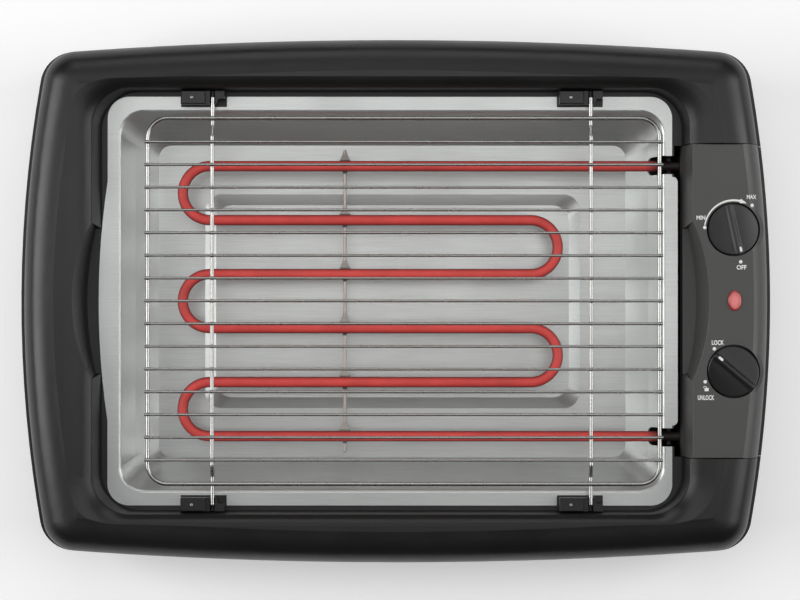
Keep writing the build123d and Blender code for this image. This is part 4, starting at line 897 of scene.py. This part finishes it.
def axes_of(node):
    """The plan centres of a node's separate screws: the middle of each cluster of its points."""
    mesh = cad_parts[node].data
    points = np.empty(len(mesh.vertices) * 3)
    mesh.vertices.foreach_get("co", points)
    plan = points.reshape(-1, 3)[:, :2]
    found = []
    while len(plan):
        near = np.hypot(*(plan - plan[0]).T) < SCREW_REACH
        group = plan[near]
        found.append((group.min(axis=0) + group.max(axis=0)) / 2)
        plan = plan[~near]
    return found


def screw_set(node, head_radius, head_height, shank_radius, body):
    """One piece for a set of like screws, which stands for their CAD node."""
    low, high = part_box(node)
    length = high[2] - low[2] - head_height
    sizes = (low[2], head_radius, head_height, shank_radius, length)
    form = joined([screw_form(place, *sizes) for place in axes_of(node)])
    screws = surface(f"{node}_threaded", *form, zinc_steel, body, "zinc_steel", closed=True)
    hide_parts(node)


screw_set("frame_screws", 0.0035, 0.0024, 0.00175, "base")
screw_set("foot_screws", 0.0045, 0.0024, 0.0018, "base")
screw_set("box_screws", 0.0035, 0.0024, 0.00175, "heating_unit")

# Ceramic ends, bulb, switch, thermostat and terminal block
# Parts inside the box: white ceramic at the element's ends, a glass bulb, and the lock's cam and
# the housings of pale heat-proof plastic.
inner_plastic, shader = new_material("inner_plastic")
place_group(
    inner_plastic,
    shader,
    moulded_surface,
    {"Dark": (0.5, 0.48, 0.42, 1), "Light": (0.6, 0.58, 0.52, 1)},
)
dress(inner_plastic, "thermostat", "safety_switch", "safety_plunger", "terminal_block", "lock_cam")
ceramic, shader = new_material("ceramic")
place_group(
    ceramic,
    shader,
    moulded_surface,
    {
        "Dark": (0.72, 0.71, 0.68, 1),
        "Light": (0.82, 0.81, 0.79, 1),
        "Roughness Low": 0.25,
    },
)
dress(ceramic, "terminal_insulators")
bulb_glass, shader = new_material("bulb_glass", roughness=0.05)
shader.inputs["Base Color"].default_value = (0.9, 0.86, 0.82, 1)
shader.inputs["Transmission Weight"].default_value = 0.85
dress(bulb_glass, "pilot_bulb")

# Wire grate
# Bright plated wire: a closed loop with fifteen thin rods and two bars, spot welded at each
# crossing. Heat has left a faint straw tint over the runs of the element.
grate_chrome, shader = new_material("grate_chrome", metallic=1.0)


def plated_group():
    """Bright plating with fine pits, and a tint that grows towards the middle of the grate."""
    group = bpy.data.node_groups.new("plated_wire", "ShaderNodeTree")
    add_socket(group, "Plating", "NodeSocketColor", (0.44, 0.44, 0.43, 1))
    add_socket(group, "Straw", "NodeSocketColor", (0.41, 0.38, 0.33, 1))
    add_socket(group, "Colour", "NodeSocketColor", out=True)
    add_socket(group, "Roughness", "NodeSocketFloat", out=True)
    add_socket(group, "Normal", "NodeSocketVector", out=True)
    link = group.links.new
    given = make_node(group, "NodeGroupInput")
    result = make_node(group, "NodeGroupOutput")
    place = make_node(group, "ShaderNodeTexCoord")
    flat = make_node(group, "ShaderNodeMapping", Scale=(5.2, 8.0, 0.0))
    far = make_node(group, "ShaderNodeVectorMath", operation="LENGTH")
    near = make_node(group, "ShaderNodeMapRange", From_Min=0.3, From_Max=1.0)
    near.inputs["To Min"].default_value = 1.0
    near.inputs["To Max"].default_value = 0.0
    patches = make_node(group, "ShaderNodeTexNoise", Scale=60.0, Detail=4.0)
    tint = make_node(group, "ShaderNodeMath", operation="MULTIPLY")
    mix = make_node(group, "ShaderNodeMix", data_type="RGBA")
    pits = make_node(group, "ShaderNodeTexNoise", Scale=1500.0, Detail=2.0)
    rough = make_node(group, "ShaderNodeMapRange", From_Min=0.3, From_Max=0.7)
    rough.inputs["To Min"].default_value = 0.2
    rough.inputs["To Max"].default_value = 0.34
    bump = make_node(group, "ShaderNodeBump", Distance=0.000008)
    link(place.outputs["Object"], flat.inputs["Vector"])
    link(flat.outputs["Vector"], far.inputs[0])
    link(far.outputs["Value"], near.inputs["Value"])
    link(place.outputs["Object"], patches.inputs["Vector"])
    link(near.outputs["Result"], tint.inputs[0])
    link(patches.outputs["Fac"], tint.inputs[1])
    link(tint.outputs[0], mix.inputs["Factor"])
    link(given.outputs["Plating"], mix.inputs["A"])
    link(given.outputs["Straw"], mix.inputs["B"])
    link(place.outputs["Object"], pits.inputs["Vector"])
    link(patches.outputs["Fac"], rough.inputs["Value"])
    link(pits.outputs["Fac"], bump.inputs["Height"])
    link(mix.outputs["Result"], result.inputs["Colour"])
    link(rough.outputs["Result"], result.inputs["Roughness"])
    link(bump.outputs["Normal"], result.inputs["Normal"])
    return group


place_group(grate_chrome, shader, plated_group(), {})
dress(grate_chrome, *[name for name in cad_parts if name.startswith("grate_")])
ROD_NAMES = sorted(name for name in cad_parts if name.startswith("grate_rod_"))
LOOP_LOW, LOOP_HIGH = np.array(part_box("grate_frame"))
LOOP_WIRE = LOOP_HIGH[2] - LOOP_LOW[2]
WELD_SIZE = (0.0016, 0.0014, 0.0009)


def weld_bead(centre, size, rows=7, columns=12):
    """A low squashed ball: cosines and sines of latitude and longitude, scaled by its size."""
    tall = np.linspace(-np.pi / 2, np.pi / 2, rows)[:, None]
    turn = np.linspace(0, 2 * np.pi, columns, endpoint=False)
    x = np.cos(tall) * np.cos(turn)
    y = np.cos(tall) * np.sin(turn)
    z = np.sin(tall) + 0 * turn
    return centre + np.stack([x, y, z], axis=-1) * size, grid_faces(rows, columns, wrap=True)


rod_lows = np.array([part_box(name)[0] for name in ROD_NAMES])
rod_highs = np.array([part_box(name)[1] for name in ROD_NAMES])
rod_middles = (rod_lows + rod_highs) / 2
bar_boxes = [np.array(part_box(name)) for name in ("grate_bar_left", "grate_bar_right")]
bar_middles = [box[:, 0].mean() for box in bar_boxes]
weld_x = np.array([LOOP_LOW[0] + LOOP_WIRE / 2, *bar_middles, LOOP_HIGH[0] - LOOP_WIRE / 2])
weld_z = rod_lows[:, 2].mean()
crossings = np.stack(np.meshgrid(weld_x, rod_middles[:, 1], [weld_z], indexing="ij"), axis=-1)
welds = joined([weld_bead(centre, WELD_SIZE) for centre in crossings.reshape(-1, 3)])
surface("grate_welds", *welds, grate_chrome, "grate", "grate_chrome", closed=True)

# Studio
# A pale floor, soft lights at the left, the right and the back, one overhead, and a camera that
# looks straight down. The camera, reflections and glass see the floor brighter than it is lit.
FLOOR_REACH = 20.0
FLOOR_COLOUR = (0.82, 0.82, 0.82, 1)
FLOOR_LIFT = 0.3
WORLD_STRENGTH = 0.06
CAMERA_PLACE = (0.0036, -0.0059, 1.4532)
CAMERA_TILT = (0.0048, 0.00036, 0.00033)
CAMERA_LENS = 86.84
floor_corners = FLOOR_REACH * np.array([[-1, -1, 0], [1, -1, 0], [1, 1, 0], [-1, 1, 0]])
floor_mesh = bpy.data.meshes.new("floor")
floor_mesh.from_pydata(floor_corners.tolist(), [], [(0, 1, 2, 3)])
floor = bpy.data.objects.new("floor", floor_mesh)
bpy.context.scene.collection.objects.link(floor)
floor_paint, shader = new_material("floor_paint", roughness=0.9)
shader.inputs["Base Color"].default_value = FLOOR_COLOUR
tree = floor_paint.node_tree
paths = make_node(tree, "ShaderNodeLightPath")
mirrored = make_node(tree, "ShaderNodeMath", operation="MAXIMUM")
direct = make_node(tree, "ShaderNodeMath", operation="MAXIMUM")
seen = make_node(tree, "ShaderNodeMath", operation="MULTIPLY")
seen.inputs[1].default_value = FLOOR_LIFT
tree.links.new(paths.outputs["Is Glossy Ray"], mirrored.inputs[0])
tree.links.new(paths.outputs["Is Transmission Ray"], mirrored.inputs[1])
tree.links.new(paths.outputs["Is Camera Ray"], direct.inputs[0])
tree.links.new(mirrored.outputs[0], direct.inputs[1])
tree.links.new(direct.outputs[0], seen.inputs[0])
tree.links.new(seen.outputs[0], shader.inputs["Emission Strength"])
shader.inputs["Emission Color"].default_value = (1, 1, 1, 1)
floor_mesh.materials.append(floor_paint)


def soft_light(name, place, aim, size, power):
    """An area light that points at aim, with its width and depth given by size."""
    light = bpy.data.lights.new(name, "AREA")
    light.shape = "RECTANGLE"
    light.size = size[0]
    light.size_y = size[1]
    light.energy = power
    lamp = bpy.data.objects.new(name, light)
    lamp.location = place
    away = np.array(place) - np.array(aim)
    flat = math.hypot(away[0], away[1])
    lamp.rotation_euler = (math.atan2(flat, away[2]), 0, math.atan2(away[0], -away[1]))
    bpy.context.scene.collection.objects.link(lamp)


soft_light("left_light", (-1.6, 0.1, 1.1), (0, 0, 0), (1.2, 1.2), 20)
soft_light("right_light", (1.6, 0.1, 1.1), (0, 0, 0), (1.2, 1.2), 15)
soft_light("back_light", (0.0, 1.6, 1.2), (0, 0, 0), (1.6, 1.0), 6.5)
soft_light("overhead_light", (0.05, 0.3, 2.25), (0, 0, 0), (2.2, 1.0), 10)
world = bpy.data.worlds.new("studio")
world.use_nodes = True
backdrop = world.node_tree.nodes["Background"]
backdrop.inputs["Color"].default_value = (1, 1, 1, 1)
backdrop.inputs["Strength"].default_value = WORLD_STRENGTH
bpy.context.scene.world = world
bpy.context.scene.view_settings.view_transform = "Standard"
camera_data = bpy.data.cameras.new("camera")
camera_data.lens = CAMERA_LENS
camera_data.sensor_width = 36
camera = bpy.data.objects.new("camera", camera_data)
camera.location = CAMERA_PLACE
camera.rotation_euler = CAMERA_TILT
bpy.context.scene.collection.objects.link(camera)
bpy.context.scene.camera = camera
